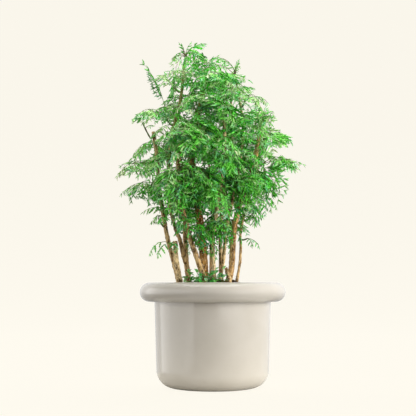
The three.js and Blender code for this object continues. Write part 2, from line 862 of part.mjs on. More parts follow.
const stems = CANES.flatMap((cane) => cane.stems);
const shoots = MARKED_SPRAYS.map(markedShoot);
let sprayNumber = 0;
for (const stem of stems.filter((each) => each.sprays)) {
  const [from, to, count] = stem.sprays;
  for (let i = 0; i < count; i += 1) {
    sprayNumber += 1;
    const height = lerp(from, to, i / Math.max(1, count - 1));
    shoots.push(ruledShoot(stem, height, sprayNumber, (i + sprayNumber) % 2 === 1));
  }
}
stems.filter((stem) => stem.end).forEach((stem, i) => shoots.push(topShoot(stem, i + 1)));

for (const shoot of shoots) {
  const rings = stemRings(shoot.points, SHOOT.radii, shoot.points.length - 1);
  shoot.parts = [stemSolid(rings, SHOOT.sides)];
  stand(shoot.name, shoot.parts[0]);
}
// Every shoot gets its first frond, then every shoot its second, and so on.
const mostFronds = Math.max(...shoots.map((shoot) => shoot.fronds.length));
for (let turn = 0; turn < mostFronds; turn += 1) {
  for (const shoot of shoots) {
    if (shoot.fronds[turn]) placeFrond(shoot, shoot.fronds[turn]);
  }
}
for (const shoot of shoots) addMesh(shoot.name, joined(shoot.parts), COLOURS.leaf, 0.5);

export default plant;
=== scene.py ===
# A potted ming aralia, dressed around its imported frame: a glazed planter, potting soil, tan canes
# with rough bark, and arching fronds whose leaflets are cut and toothed.
# Laid out as an add-on: the panel's buttons build the pieces one after another.

import math

import bmesh
import bpy
from bmesh.types import BMEdge, BMFace, BMVert
from bpy.props import FloatProperty, FloatVectorProperty, IntProperty, PointerProperty
from mathutils import Matrix, Vector, kdtree, noise


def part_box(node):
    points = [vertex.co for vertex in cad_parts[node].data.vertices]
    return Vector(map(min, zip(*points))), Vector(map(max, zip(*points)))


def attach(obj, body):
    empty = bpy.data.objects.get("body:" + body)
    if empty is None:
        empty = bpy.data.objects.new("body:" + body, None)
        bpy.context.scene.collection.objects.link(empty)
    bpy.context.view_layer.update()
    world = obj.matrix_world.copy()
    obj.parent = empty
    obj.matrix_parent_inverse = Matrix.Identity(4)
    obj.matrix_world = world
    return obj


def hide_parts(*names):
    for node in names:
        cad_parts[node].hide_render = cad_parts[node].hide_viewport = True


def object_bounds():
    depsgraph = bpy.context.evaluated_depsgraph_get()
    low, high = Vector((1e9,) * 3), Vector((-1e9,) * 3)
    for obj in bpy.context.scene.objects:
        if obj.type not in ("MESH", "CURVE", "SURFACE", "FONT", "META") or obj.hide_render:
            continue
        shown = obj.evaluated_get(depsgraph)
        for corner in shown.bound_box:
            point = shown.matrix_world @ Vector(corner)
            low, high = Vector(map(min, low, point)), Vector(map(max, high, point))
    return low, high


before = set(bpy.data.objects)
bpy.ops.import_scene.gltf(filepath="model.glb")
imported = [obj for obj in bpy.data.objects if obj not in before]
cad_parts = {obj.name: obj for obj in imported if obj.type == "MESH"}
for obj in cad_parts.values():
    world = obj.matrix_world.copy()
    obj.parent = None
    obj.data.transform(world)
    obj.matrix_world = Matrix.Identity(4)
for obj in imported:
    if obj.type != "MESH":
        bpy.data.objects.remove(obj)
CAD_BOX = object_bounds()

bl_info = {
    "name": "Potted ming aralia",
    "version": (1, 0, 0),
    "blender": (4, 5, 0),
    "location": "3D View > Sidebar > Aralia",
    "description": "Builds a ming aralia in a glazed planter around its packed frame",
    "category": "Object",
}

BODY = "root"
POT_LOW, POT_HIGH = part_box("pot")


# ---- Colours and patterns -------------------------------------------------------------------


def linear(code):
    """The linear colour of an sRGB hex value such as #c9c0b2."""
    shares = [int(code[i : i + 2], 16) / 255 for i in (1, 3, 5)]
    return [s / 12.92 if s <= 0.04045 else ((s + 0.055) / 1.055) ** 2.4 for s in shares]


def colour(name, code, description):
    return FloatVectorProperty(
        name=name, description=description, default=linear(code), subtype="COLOR", size=3, min=0, max=1
    )


def length(name, metres, description):
    return FloatProperty(
        name=name, description=description, default=metres, unit="LENGTH", min=0.0001, precision=4
    )


def brightness(name, value, description):
    return FloatProperty(name=name, description=description, default=value, min=0)


def per_metre(millimetres):
    """The scale of a texture whose pattern repeats at a real size."""
    return 1000 / millimetres


# ---- Settings -------------------------------------------------------------------------------


class AraliaPot(bpy.types.PropertyGroup):
    height: length("Height", POT_HIGH.z - POT_LOW.z, "From the floor to the top of the rim")
    rim_radius: length("Rim radius", POT_HIGH.x, "From the middle to the outside of the rolled rim")
    rim_section: length("Rim section", 0.026, "Radius of the rolled rim's round section")
    top_radius: length("Top radius", 0.16, "Outside of the wall where it meets the rim")
    low_radius: length("Low radius", 0.1535, "Outside of the wall above the rounded lower edge")
    corner_radius: length("Corner radius", 0.048, "Round of the lower edge")
    wall: length("Wall", 0.012, "Thickness of the wall and the floor")
    sides: IntProperty(name="Sides", description="Steps round the pot", default=160, min=32)
    glaze: colour("Glaze", "#c2bbaf", "Greige glaze where it lies thick")
    thin_glaze: colour("Thin glaze", "#bdb6a9", "Glaze where it has run thinner")
    fleck: colour("Fleck", "#a3937e", "Fine darker flecks in the glaze")


class AraliaSoil(bpy.types.PropertyGroup):
    chips: IntProperty(name="Chips", description="Bark chips and lumps on the soil", default=900, min=0)
    chip: length("Chip", 0.0052, "Mean radius of a chip")
    heap: length("Heap", 0.004, "Height of the soil that is heaped round each cane")
    peat: colour("Peat", "#2c2018", "Damp peat between the chips")
    bark_chip: colour("Bark chip", "#5a4230", "Composted bark chips")
    dry_crumb: colour("Dry crumb", "#6d5741", "Crumbs that dried paler")


class AraliaCanes(bpy.types.PropertyGroup):
    step: length("Step", 0.0035, "Length of a step along a cane")
    sides: IntProperty(name="Sides", description="Steps round a cane", default=16, min=8)
    scar_spacing: length("Scar spacing", 0.017, "From one leaf scar to the next")
    scar: length("Scar", 0.0007, "How far a leaf scar stands out")
    furrow: length("Furrow", 0.0011, "Depth of the bark's unevenness")
    pale: colour("Pale bark", "#fce0a8", "Corky bark of the paler canes")
    dark: colour("Dark bark", "#ae782c", "Rough bark of the older canes")
    fissure: colour("Fissure", "#482a04", "Cracks and shaded pits in the bark")
    lenticel: colour("Lenticel", "#f4e4c0", "Corky breathing spots across the bark")
    green_wood: colour("Green wood", "#7d8a48", "Skin of the younger wood near the tips")
    cut_wood: colour("Cut wood", "#5b4636", "Weathered face of a pruning cut")


class AraliaFronds(bpy.types.PropertyGroup):
    pair_spacing: length("Pair spacing", 0.014, "From one pair of side leaves to the next")
    leaflet_width: FloatProperty(
        name="Leaflet width", description="Width of the leaflets beside the drawn shapes",
        default=0.78, min=0.2,
    )
    # The dark end of a leaflet's tone: older leaflets, and painted shade at the crown's far right.
    deep: colour("Deep green", "#025e02", "Older leaflets inside the crown")
    bright: colour("Bright green", "#52d434", "Full-grown leaflets")
    # The pale end of the tone: young leaflets, and a painted highlight on the palest ones.
    young_and_highlight: colour("Fresh green", "#dce0b6", "Young leaflets near the tips")
    under: colour("Underside", "#80d850", "Paler, matter lower face")
    rib: colour("Rib", "#84c656", "Midrib of a leaflet")
    # Painted sheen: blue-green painted into patches of leaflets in place of their glossy reflection.
    blue: colour("Blue green", "#94dcbc", "Bloom on some of the leaflets")
    stalk: colour("Stalk", "#5a8632", "Green stalks and midribs")
    stalk_shade: colour("Stalk shade", "#685838", "Brownish side of the stalks")
    round_leaf: colour("Round leaf", "#3cae3a", "Round leaves of the young shoots")


class AraliaStage(bpy.types.PropertyGroup):
    distance: length("Distance", 2.49, "From the camera to the middle of the pot")
    camera_height: length("Camera height", 0.268, "Height of the camera above the floor")
    aside: length("Aside", 0.0127, "How far the camera stands to the left of the middle")
    tilt: FloatProperty(
        name="Tilt", description="How far the camera looks up", default=math.radians(5.1), subtype="ANGLE"
    )
    lens: FloatProperty(name="Lens", description="Focal length in millimetres", default=78, min=10)
    sweep_radius: length("Sweep radius", 4.6, "Inside of the round backdrop")
    sweep_height: length("Sweep height", 5, "Height of the round backdrop")
    sweep_corner: length("Sweep corner", 1.6, "Round between the floor and the backdrop")
    bounce_radius: length("Bounce radius", 0.36, "Radius of the disc that sends light up to the pot")
    backdrop: colour("Backdrop", "#fcf8ed", "Cream paper of the floor and the backdrop")
    daylight: brightness("Daylight", 0.23, "Strength of the even light")
    backlight: brightness("Backlight", 1.2, "Strength of the light behind")
    key: brightness("Key", 130, "Watts of the large box at the right")
    front: brightness("Front", 13, "Watts of the wide box in front")
    low: brightness("Low", 8, "Watts of the low strip that the pot mirrors")
    fill: brightness("Fill", 48, "Watts of the wide box at the left")
    top: brightness("Top", 82, "Watts of the box overhead")


class AraliaSettings(bpy.types.PropertyGroup):
    pot: PointerProperty(type=AraliaPot, name="Pot", description="The glazed planter")
    soil: PointerProperty(type=AraliaSoil, name="Soil", description="The potting soil")
    canes: PointerProperty(type=AraliaCanes, name="Canes", description="The woody stems")
    fronds: PointerProperty(type=AraliaFronds, name="Fronds", description="Shoots, stalks and leaflets")
    stage: PointerProperty(type=AraliaStage, name="Stage", description="Floor, lights and camera")


# ---- The plant's plan -----------------------------------------------------------------------
# Places and lengths in the plan are in millimetres, and a finished piece is scaled to metres.

MILLIMETRE = 0.001
UP = Vector((0, 0, 1))
# How far the foot of a shoot stands off what it grows from.
GAP = 0.3

# Each stem is the list of points that its middle passes, foot first, with its radius at the foot
# and at the top. sprays gives the height of the lowest and the highest side shoot and how many
# there are, and end how many fronds the shoot at the top has. shade is the bark's, from 0 for dark
# and rough to 1 for pale, cut is for a pruned cane, and full is how much fuller than its plan a
# cane is with its bark on, where it isn't BARK_FULLNESS. The frame's canes start at FOOT, with
# CANE_FLATS sides and a ring about every CANE_STEP.
FOOT = 236
CANE_FLATS = 6
CANE_STEP = 52
CANES = [
    {
        "name": "cane_left_pruned",
        "shade": 0.6,
        "cut": True,
        "stems": [
            {
                "radii": (6, 4.8),
                "sprays": (440, 520, 2),
                "points": [
                    (-82, 6, FOOT), (-95, 4, 293), (-110, 2, 349), (-124, 0, 404), (-138, -3, 478),
                    (-149, -6, 560), (-156, -8, 640), (-165, -8, 703),
                ],
            },
        ],
    },
    {
        "name": "cane_stub_left",
        "shade": 0.9,
        "cut": True,
        "stems": [
            {
                "radii": (7.2, 6.2),
                "points": [(-80, -30, FOOT), (-90, -32, 290), (-100, -34, 350), (-102, -34, 397)],
            },
        ],
    },
    {
        "name": "cane_leader_pair",
        "shade": 0.55,
        "stems": [
            {
                "radii": (7.5, 4.2),
                "sprays": (424, 780, 3),
                "end": 4,
                "points": [
                    (-62, 18, FOOT), (-68, 20, 305), (-74, 24, 350), (-77, 32, 436), (-76, 50, 540),
                    (-62, 66, 650), (-40, 66, 760), (-22, 58, 862),
                ],
            },
            {
                "radii": (5.6, 3.4),
                "sprays": (470, 810, 3),
                "end": 4,
                "points": [
                    (-72.5, 22.5, 332), (-80, 12, 356), (-90, -2, 400), (-106, -16, 445),
                    (-122, -32, 530), (-118, -40, 640), (-101, -38, 736), (-88, -34, 795),
                    (-78, -30, 888),
                ],
            },
        ],
    },
    {
        "name": "cane_leaning",
        "shade": 0.4,
        "stems": [
            {
                "radii": (7.4, 4.6),
                "sprays": (416, 580, 2),
                "end": 4,
                "points": [
                    (-14, -52, FOOT), (-22, -52, 288), (-41, -54, 346), (-65, -62, 416),
                    (-84, -84, 500), (-92, -106, 590), (-84, -114, 672),
                ],
            },
        ],
    },
    {
        "name": "cane_thick",
        "shade": 0.05,
        "full": 1.3,
        "stems": [
            {
                "radii": (10, 4.6),
                "sprays": (410, 730, 3),
                "end": 4,
                "points": [
                    (-22, -14, FOOT), (-24, -14, 288), (-27, -14, 379), (-38, -20, 470),
                    (-48, -26, 554), (-55, -28, 617), (-46, -30, 710), (-28, -28, 806),
                ],
            },
        ],
    },
    {
        "name": "cane_thin_back",
        "shade": 0.5,
        "stems": [
            {
                "radii": (3.2, 2.8),
                "sprays": (440, 590, 2),
                "end": 4,
                "points": [
                    (-8, 24, FOOT), (-6, 26, 315), (-4, 34, 397), (4, 66, 486), (-4, 104, 580),
                    (-16, 122, 676),
                ],
            },
        ],
    },
    {
        "name": "cane_pale_front",
        "shade": 1,
        "stems": [
            {
                "radii": (5.2, 3.6),
                "sprays": (412, 650, 3),
                "end": 4,
                "points": [
                    (6, -24, FOOT), (4, -24, 304), (1, -28, 398), (12, -56, 482), (26, -90, 574),
                    (32, -104, 664), (28, -98, 742),
                ],
            },
        ],
    },
    {
        "name": "cane_fork_right",
        "shade": 0.85,
        "stems": [
            {
                "radii": (5.6, 3.6),
                "sprays": (430, 730, 3),
                "end": 4,
                "points": [
                    (20, 12, FOOT), (22, 12, 290), (23, 14, 325), (22, 20, 432), (30, 40, 524),
                    (46, 66, 620), (56, 80, 716), (54, 78, 800),
                ],
            },
            {
                "radii": (4.6, 3.4),
                "sprays": (418, 770, 3),
                "end": 4,
                "points": [
                    (23.5, 13.5, 312), (30, 4, 344), (34, -4, 393), (40, -6, 442), (58, -12, 524),
                    (76, -18, 620), (84, -20, 720), (66, -14, 846),
                ],
            },
        ],
    },
    {
        "name": "cane_right",
        "shade": 0.3,
        "full": 1.25,
        "stems": [
            {
                "radii": (7.4, 4.4),
                "sprays": (470, 540, 1),
                "end": 4,
                "points": [
                    (38, -30, FOOT), (44, -32, 288), (52, -34, 332), (60, -38, 440), (84, -48, 522),
                    (112, -54, 604), (128, -50, 690),
                ],
            },
        ],
    },
    {
        "name": "cane_wavy_right",
        "shade": 0.45,
        "stems": [
            {
                "radii": (3.6, 2.9),
                "sprays": (460, 570, 2),
                "end": 3,
                "points": [
                    (60, 30, FOOT), (68, 32, 292), (76, 34, 336), (79, 36, 384), (80, 42, 432),
                    (100, 60, 512), (124, 82, 592), (134, 90, 654),
                ],
            },
        ],
    },
    {
        "name": "cane_stub_front",
        "shade": 0.7,
        "cut": True,
        "stems": [
            {"radii": (5, 4.4), "points": [(52, -60, FOOT), (46, -60, 284), (35, -60, 324)]},
        ],
    },
]

# Sprays that give the crown its outline: cane, stem, height on the bark, angle, slope and length
# of the shoot, and then each frond's angle, rise, droop, length and roll, with a share for the side
# leaves of a frond that keeps them close.
MARKED_SPRAYS = [
    ("spray_over_stub", "cane_left_pruned", 0, 688, 180, 62, 46,
     [(6, 48, 80, 88, 30), (140, 74, 80, 60, 0)]),
    ("spray_left_upper", "cane_left_pruned", 0, 600, 190, 40, 10,
     [(172, 44, 86, 98, 30), (218, 30, 90, 130, 0)]),
    ("spray_left_lower", "cane_left_pruned", 0, 556, 150, 30, 10,
     [(184, 16, 70, 98, -30), (128, 34, 100, 140, 0)]),
    ("spray_left_upright", "cane_leader_pair", 1, 716, 200, 50, 24,
     [(180, 84, 42, 160, 22, 0.62), (236, 40, 90, 150, 0)]),
    ("spray_right_arm", "cane_right", 0, 596, 0, 34, 22,
     [(2, 26, 52, 120, 25), (318, 36, 90, 150, 0), (40, 34, 100, 140, 0)]),
    ("spray_right_hanging", "cane_wavy_right", 0, 520, 350, 30, 20,
     [(356, 16, 100, 128, 20), (50, 30, 110, 130, 0)]),
    ("spray_stub_leaves", "cane_stub_left", 0, 386, 210, 30, 12,
     [(176, 24, 110, 74, 20), (226, 6, 90, 70, 0), (282, 30, 110, 66, 0)]),
    ("spray_low_right", "cane_wavy_right", 0, 404, 340, 20, 12,
     [(348, 0, 80, 84, 20), (300, 10, 90, 80, 0)]),
]

SHOOT = {"collar": 7, "first_frond": 0.1, "next_frond": 0.27}
SIDE = {"fronds": 3, "slope": 46, "shoot": 30, "spread": 66, "swing": 52}
END = {"shoot": 30, "turn": 37}
CROWN_MIDDLE = -10
SEEDS = {"marked": 11, "side": 1000, "end": 3000}

# Habit of the fronds by height: rise, droop and length.
HABIT = [
    (420, 8, 90, 138), (520, 30, 104, 186), (640, 44, 98, 194), (760, 56, 88, 180), (900, 66, 78, 134),
]
DRAWS = 400
WANDER = {
    "angle": 24, "wider": 0.2, "rise": 20, "droop": 0.25, "length": 0.14, "shorter": 0.0014,
    "roll": 55,
}
MARKED_WANDER = {"angle": 4, "wider": 0.25, "shorter": 0.001}

# The last leaflet of a frond's blade: where it starts on the midrib, its length as a share of the
# frond's, and how far its tip hooks down. A frond is recognised by where this tip lies.
TIP_FROM = 0.84
TIP_REACH = 0.25
HOOK = 0.12
SAME_PLACE = 0.05

YOUNG_SHOOTS = [
    {
        "name": "young_shoot_left", "seed": 71,
        "at": (-52, -62), "lean": (-12, -8, 0), "height": 34, "leaves": 4,
        "sprouts": [(-40, -70), (-62, -66), (-48, -74), (-30, -66), (-74, -58), (-36, -80)],
    },
    {
        "name": "young_shoot_middle", "seed": 72,
        "at": (2, -62), "lean": (-6, -10, 0), "height": 24, "leaves": 3,
        "sprouts": [(12, -70), (-8, -76), (22, -64), (4, -80), (-2, -66), (-20, -74), (30, -70)],
    },
]
# How far each leaf stands turned from the one below it.
NEXT_LEAF = {"turn": 137.5, "wander": 40}
YOUNG = {"sunk": 24, "radii": (1.5, 1.1), "length": (17, 26), "spots": (0.55, 0.98), "rise": (10, 50)}

# Smaller sprouts between them, which only the leaves make visible.
SPROUT = {
    "sunk": 4, "radii": (0.9, 0.6), "length": (12, 20), "spots": (0.35, 1), "rise": (-60, 70),
    "height": (18, 40), "lean": 16, "leaves": 6,
}

SOIL_PLAN = {"edge_radius": 148, "edge_height": 264, "mound": 22, "lump": 3}


def seeded_draws(seed):
    """The same seed always gives the same row of numbers between 0 and 1."""
    modulus = 2147483647
    state = (seed * 7919) % modulus

    def draw():
        nonlocal state
        state = (state * 16807) % modulus
        return state / modulus

    draw()
    draw()
    return draw


def blend(a, b, share):
    return a + (b - a) * share


def clamped(share):
    return min(1, max(0, share))


def row_at(table, key):
    """Reads a table whose rows start with a key, and blends the two rows round it."""
    if key <= table[0][0]:
        return list(table[0][1:])
    if key >= table[-1][0]:
        return list(table[-1][1:])
    i = next(i for i, row in enumerate(table) if row[0] > key)
    share = (key - table[i - 1][0]) / (table[i][0] - table[i - 1][0])
    return [blend(a, b, share) for a, b in zip(table[i - 1][1:], table[i][1:])]


def heading(angle, slope=0.0):
    """The direction towards a compass angle, rising by a slope."""
    a, e = math.radians(angle), math.radians(slope)
    return Vector((math.cos(a) * math.cos(e), math.sin(a) * math.cos(e), math.sin(e)))


def curve_point(points, share):
    """A point of the smooth curve that passes all the points."""
    place = (len(points) - 1) * share
    i = min(int(place), len(points) - 2)
    t = place - i
    before = points[i - 1] if i > 0 else 2 * points[0] - points[1]
    after = points[i + 2] if i + 2 < len(points) else 2 * points[-1] - points[-2]
    start, end = points[i], points[i + 1]
    pull, push = (end - before) / 2, (after - start) / 2
    bend = 3 * (end - start) - 2 * pull - push
    return start + pull * t + bend * t**2 + (2 * (start - end) + pull + push) * t**3


def curve_length(points, steps=200):
    spots = [curve_point(points, i / steps) for i in range(steps + 1)]
    return sum((b - a).length for a, b in zip(spots, spots[1:]))


def stem_rings(points, radii, steps, towards=Vector((1, 0, 0))):
    """Even steps along a stem: the middle, the directions along it, east and north, and the radius."""
    rings = []
    for i in range(steps + 1):
        share = i / steps
        ahead = curve_point(points, min(1, share + 0.0001))
        along = (ahead - curve_point(points, max(0, share - 0.0001))).normalized()
        east = (towards - along * along.dot(towards)).normalized()
        rings.append({
            "at": curve_point(points, share),
            "along": along,
            "east": east,
            "north": along.cross(east),
            "radius": blend(radii[0], radii[1], share),
        })
    return rings


def plan_points(stem):
    return [Vector(point) for point in stem["points"]]


def flat_rings(stem):
    """The stem's rings where its flats meet, as the frame's cane has them."""
    points = plan_points(stem)
    return stem_rings(points, stem["radii"], max(3, round(curve_length(points) / CANE_STEP)))


def flat_corner(ring, k):
    angle = (k - 0.5) * 2 * math.pi / CANE_FLATS
    return ring["at"] + ring["radius"] * (ring["east"] * math.cos(angle) + ring["north"] * math.sin(angle))


def bark_spot(stem, height, angle):
    """The middle of the flat that faces nearest to an angle, at a height, and where it faces."""
    rings = flat_rings(stem)
    k = int(angle * CANE_FLATS / 360 + 0.5) % CANE_FLATS
    middles = [(flat_corner(ring, k) + flat_corner(ring, k + 1)) / 2 for ring in rings]
    i = max(1, next((i for i, middle in enumerate(middles) if middle.z > height), -1))
    share = (height - middles[i - 1].z) / (middles[i].z - middles[i - 1].z)
    across = flat_corner(rings[i], k + 1) - flat_corner(rings[i], k)
    out = across.cross(middles[i] - middles[i - 1]).normalized()
    return middles[i - 1].lerp(middles[i], share), out


def side_shoot(name, stem, height, angle, slope, reach):
    at, out = bark_spot(stem, height, angle)
    root = at + out * GAP
    knee = root + out * SHOOT["collar"]
    return {"name": name, "points": [root, knee, knee + heading(angle, slope) * reach], "plans": []}


def frond_root(shoot, number):
    return shoot["points"][2].lerp(shoot["points"][1], SHOOT["first_frond"] + SHOOT["next_frond"] * number)


def marked_shoot(number, mark):
    name, cane_name, branch, height, angle, slope, reach, fronds = mark
    stem = next(cane for cane in CANES if cane["name"] == cane_name)["stems"][branch]
    shoot = side_shoot(name, stem, height, angle, slope, reach)
    for i, marked in enumerate(fronds):
        seed = SEEDS["marked"] + 16 * number + i
        slim = marked[5] if len(marked) > 5 else 1
        root = frond_root(shoot, i)
        shoot["plans"].append({"root": root, "marked": marked[:5], "slim": slim, "seed": seed})
    return shoot


def ruled_shoot(stem, height, number, leftward):
    at, _ = bark_spot(stem, height, 0)
    outward = math.degrees(math.atan2(at.y, at.x - CROWN_MIDDLE))
    angle = (outward + (SIDE["swing"] if leftward else -SIDE["swing"]) + 360) % 360
    shoot = side_shoot(f"spray_{number:02d}", stem, height, angle, SIDE["slope"], SIDE["shoot"])
    for i in range(SIDE["fronds"]):
        turn = (i - (SIDE["fronds"] - 1) / 2) * SIDE["spread"]
        seed = SEEDS["side"] + 16 * number + i
        shoot["plans"].append({"root": frond_root(shoot, i), "angle": angle + turn, "seed": seed})
    return shoot


def top_shoot(stem, number):
    top = flat_rings(stem)[-1]
    reaches = (GAP, GAP + END["shoot"] / 2, GAP + END["shoot"])
    points = [top["at"] + top["along"] * reach for reach in reaches]
    shoot = {"name": f"end_spray_{number:02d}", "points": points, "plans": [], "carries_on": top["radius"]}
    for i in range(stem["end"]):
        angle = END["turn"] * number + 360 / stem["end"] * i
        seed = SEEDS["end"] + 16 * number + i
        shoot["plans"].append({"root": frond_root(shoot, i), "angle": angle, "seed": seed})
    return shoot


def planned_shoots():
    """Every shoot of the plant, with the plans of its fronds."""
    stems = [stem for cane in CANES for stem in cane["stems"]]
    shoots = [marked_shoot(number, mark) for number, mark in enumerate(MARKED_SPRAYS)]
    number = 0
    for stem in (stem for stem in stems if "sprays" in stem):
        low, high, count = stem["sprays"]
        for i in range(count):
            number += 1
            height = blend(low, high, i / max(1, count - 1))
            shoots.append(ruled_shoot(stem, height, number, (i + number) % 2 == 1))
    ends = (stem for stem in stems if "end" in stem)
    shoots += [top_shoot(stem, number) for number, stem in enumerate(ends, 1)]
    return shoots


def drawn_frond(plan, draw, attempt):
    """One draw of a frond round its plan."""
    if "marked" in plan:
        angle, rise, droop, reach, roll = plan["marked"]
        wander = MARKED_WANDER["angle"] + MARKED_WANDER["wider"] * attempt
        angle, rise, droop = (value + wander * (2 * draw() - 1) for value in (angle, rise, droop))
        reach *= 1 - MARKED_WANDER["shorter"] * attempt
        roll += wander * (2 * draw() - 1)
    else:
        rise, droop, reach = row_at(HABIT, plan["root"].z)
        angle = plan["angle"] + (WANDER["angle"] + WANDER["wider"] * attempt) * (2 * draw() - 1)
        rise += WANDER["rise"] * (2 * draw() - 1)
        droop *= 1 + WANDER["droop"] * (2 * draw() - 1)
        reach *= (1 + WANDER["length"] * (2 * draw() - 1)) * (1 - WANDER["shorter"] * attempt)
        roll = WANDER["roll"] * (2 * draw() - 1)
    return {
        "root": plan["root"], "angle": angle, "rise": rise, "droop": droop, "reach": reach, "roll": roll,
    }


def midrib(frond, share):
    """A spot on a frond's midrib, an arc that turns down evenly, with the blade's directions."""
    turn, start = math.radians(frond["droop"]), math.radians(frond["rise"])
    now = start - turn * share
    out = heading(frond["angle"])
    flat = frond["reach"] * (math.sin(start) - math.sin(now)) / turn
    high = frond["reach"] * (math.cos(now) - math.cos(start)) / turn
    along = out * math.cos(now) + UP * math.sin(now)
    level = UP.cross(out)
    roll = math.radians(frond["roll"])
    across = level * math.cos(roll) + along.cross(level) * math.sin(roll)
    return {
        "at": frond["root"] + out * flat + UP * high,
        "along": along,
        "across": across,
        "normal": along.cross(across),
    }


def blade_tip(frond):
    last = midrib(frond, TIP_FROM)
    reach = TIP_REACH * frond["reach"]
    return last["at"] + last["along"] * reach - last["normal"] * HOOK * reach


def standing_fronds(shoot):
    """The fronds of a shoot as they stand in the frame: the draws whose tips its node holds."""
    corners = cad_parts[shoot["name"]].data.vertices
    tree = kdtree.KDTree(len(corners))
    for i, corner in enumerate(corners):
        tree.insert(corner.co / MILLIMETRE, i)
    tree.balance()
    fronds = []
    for plan in shoot["plans"]:
        draw = seeded_draws(plan["seed"])
        for attempt in range(DRAWS):
            frond = drawn_frond(plan, draw, attempt)
            if tree.find(blade_tip(frond))[2] < SAME_PLACE:
                frond["slim"] = plan.get("slim", 1)
                fronds.append(frond)
                break
    if not fronds:
        raise RuntimeError(f"no frond of {shoot['name']} was recognised in its node")
    return fronds


# ---- Work in mesh ---------------------------------------------------------------------------

# Leaflet shapes in leaflet lengths: each row has the places of the midrib's and the margin's
# points along the leaflet, and how far the margin stands out. A margin that goes out and in
# again makes the teeth and lobes.
LEAFLETS = {
    "narrow": [(0, 0, 0.02), (0.18, 0.27, 0.13), (0.34, 0.34, 0.075), (0.5, 0.6, 0.125),
               (0.68, 0.68, 0.06), (1, 1, 0)],
    "toothed": [(0, 0, 0.02), (0.12, 0.22, 0.16), (0.26, 0.28, 0.09), (0.4, 0.52, 0.185),
                (0.54, 0.56, 0.09), (0.66, 0.78, 0.12), (0.82, 0.82, 0.045), (1, 1, 0)],
    "lobed": [(0, 0, 0.02), (0.14, 0.17, 0.05), (0.24, 0.54, 0.34), (0.4, 0.4, 0.085),
              (0.52, 0.76, 0.21), (0.72, 0.7, 0.07), (1, 1, 0)],
    "round": [(0, 0, 0.025), (0.3, 0.3, 0.03), (0.38, 0.33, 0.2), (0.46, 0.42, 0.29), (0.54, 0.5, 0.3),
              (0.62, 0.6, 0.335), (0.7, 0.68, 0.3), (0.8, 0.8, 0.28), (0.87, 0.86, 0.2), (0.95, 0.95, 0.12),
              (1, 1, 0)],
}
# How steeply a leaflet folds up from its midrib, how far its tip curls down, and how thick it is
# at the midrib, the last two in leaflet lengths.
FOLD = 0.45
CURL = 0.12
LEAF_THICKNESS = 0.028

# The crown's dense heart by height: its middle, and how far it reaches sideways. It reaches DEEPER
# times as far in front and behind. A filling may leave it where its tip stays within CLOSE of its
# root sideways.
HEART = [(400, -10, 95), (520, -10, 124), (700, -6, 124), (800, -16, 96), (900, -50, 60)]
DEEPER = 1.6
CLOSE = 42
# How many fillings grow beside each frond by height, and the lowest and the highest rise they have.
FILLINGS = [(440, 1), (500, 3), (560, 4), (640, 5), (760, 3), (840, 2)]
FILLING_RISE = [
    (450, 10, 50), (520, -15, 30), (600, -40, 25), (700, -20, 40), (800, 0, 50), (900, -35, 50),
]
# How far round the front fillings may head: the first angle, and where there are more than two
# beside a frond, the second one for every other filling.
FILLING_TURNS = (150, 360)
# A filling's length as a share of its frond's, its droop and roll, and how often it is drawn before
# it is given up.
FILLING = {"reach": (0.55, 0.85), "droop": (40, 95), "roll": 80, "tries": 12}
# In the heart's middle there are as many as this much higher up. Past OUTSKIRTS, as a share of the
# heart's room, only these shares of them grow.
HANGING_LOWER = 120
OUTSKIRTS = 0.72
OUTER_SHARE = {"left": 0.3, "right": 0.45}
# The short fronds at the canes' tips.
TIP_FROND = {"rise": (66, 88), "droop": (10, 40), "reach": (40, 66), "slim": 0.9}
# The crown leans to the left, and this is how far it reaches to the right by height. A frond is cut
# back step by step to stay in it, and the last step is the one that brings it below CUT_BACK, as a
# share of its length.
RIGHT_EDGE = [
    (340, 110), (410, 100), (460, 140), (500, 200), (560, 205), (600, 262), (650, 240), (700, 208),
    (750, 168), (790, 140), (830, 112), (860, 72), (890, 46), (920, 28), (950, -10),
]
CUT_BACK = 0.58
CUT_STEP = 0.95
# A frond's tone is made of a start, what makes it lighter and what makes it darker, where right is painted
# shade on the crown's far right.
TONE = {"start": 0.25, "high": 0.16, "outer": 0.5, "low": 0.9, "right": 0.15, "slim": 2.0}

TWIG_SIDES = 4
TWIG_STEPS = 4


def only(kind, items):
    """The items of one kind, such as the points among all that an operator made."""
    return [item for item in items if isinstance(item, kind)]


def edges_of(verts):
    return list(dict.fromkeys(edge for vert in verts for edge in vert.link_edges))


def faces_of(verts):
    return list(dict.fromkeys(face for vert in verts for face in vert.link_faces))


def draw_ring(bm, edges):
    """Draws a loop of edges out into a new loop, and returns the new loop's points and edges."""
    drawn = bmesh.ops.extrude_edge_only(bm, edges=edges)["geom"]
    ring = only(BMVert, drawn)
    new = set(ring)
    return ring, [edge for edge in only(BMEdge, drawn) if new.issuperset(edge.verts)]


def as_object(name, bm, *materials):
    """Puts a finished mesh into the scene as an object."""
    mesh = bpy.data.meshes.new(name)
    bm.to_mesh(mesh)
    bm.free()
    for material in materials:
        mesh.materials.append(material)
    made = bpy.data.objects.new(name, mesh)
    bpy.context.scene.collection.objects.link(made)
    return made


def hand_over(name, bm, slot, nodes, *materials):
    """Hands a finished mesh over as a piece of the object, in place of its nodes."""
    piece = as_object(name, bm, *materials)
    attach(piece, BODY)
    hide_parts(*nodes)


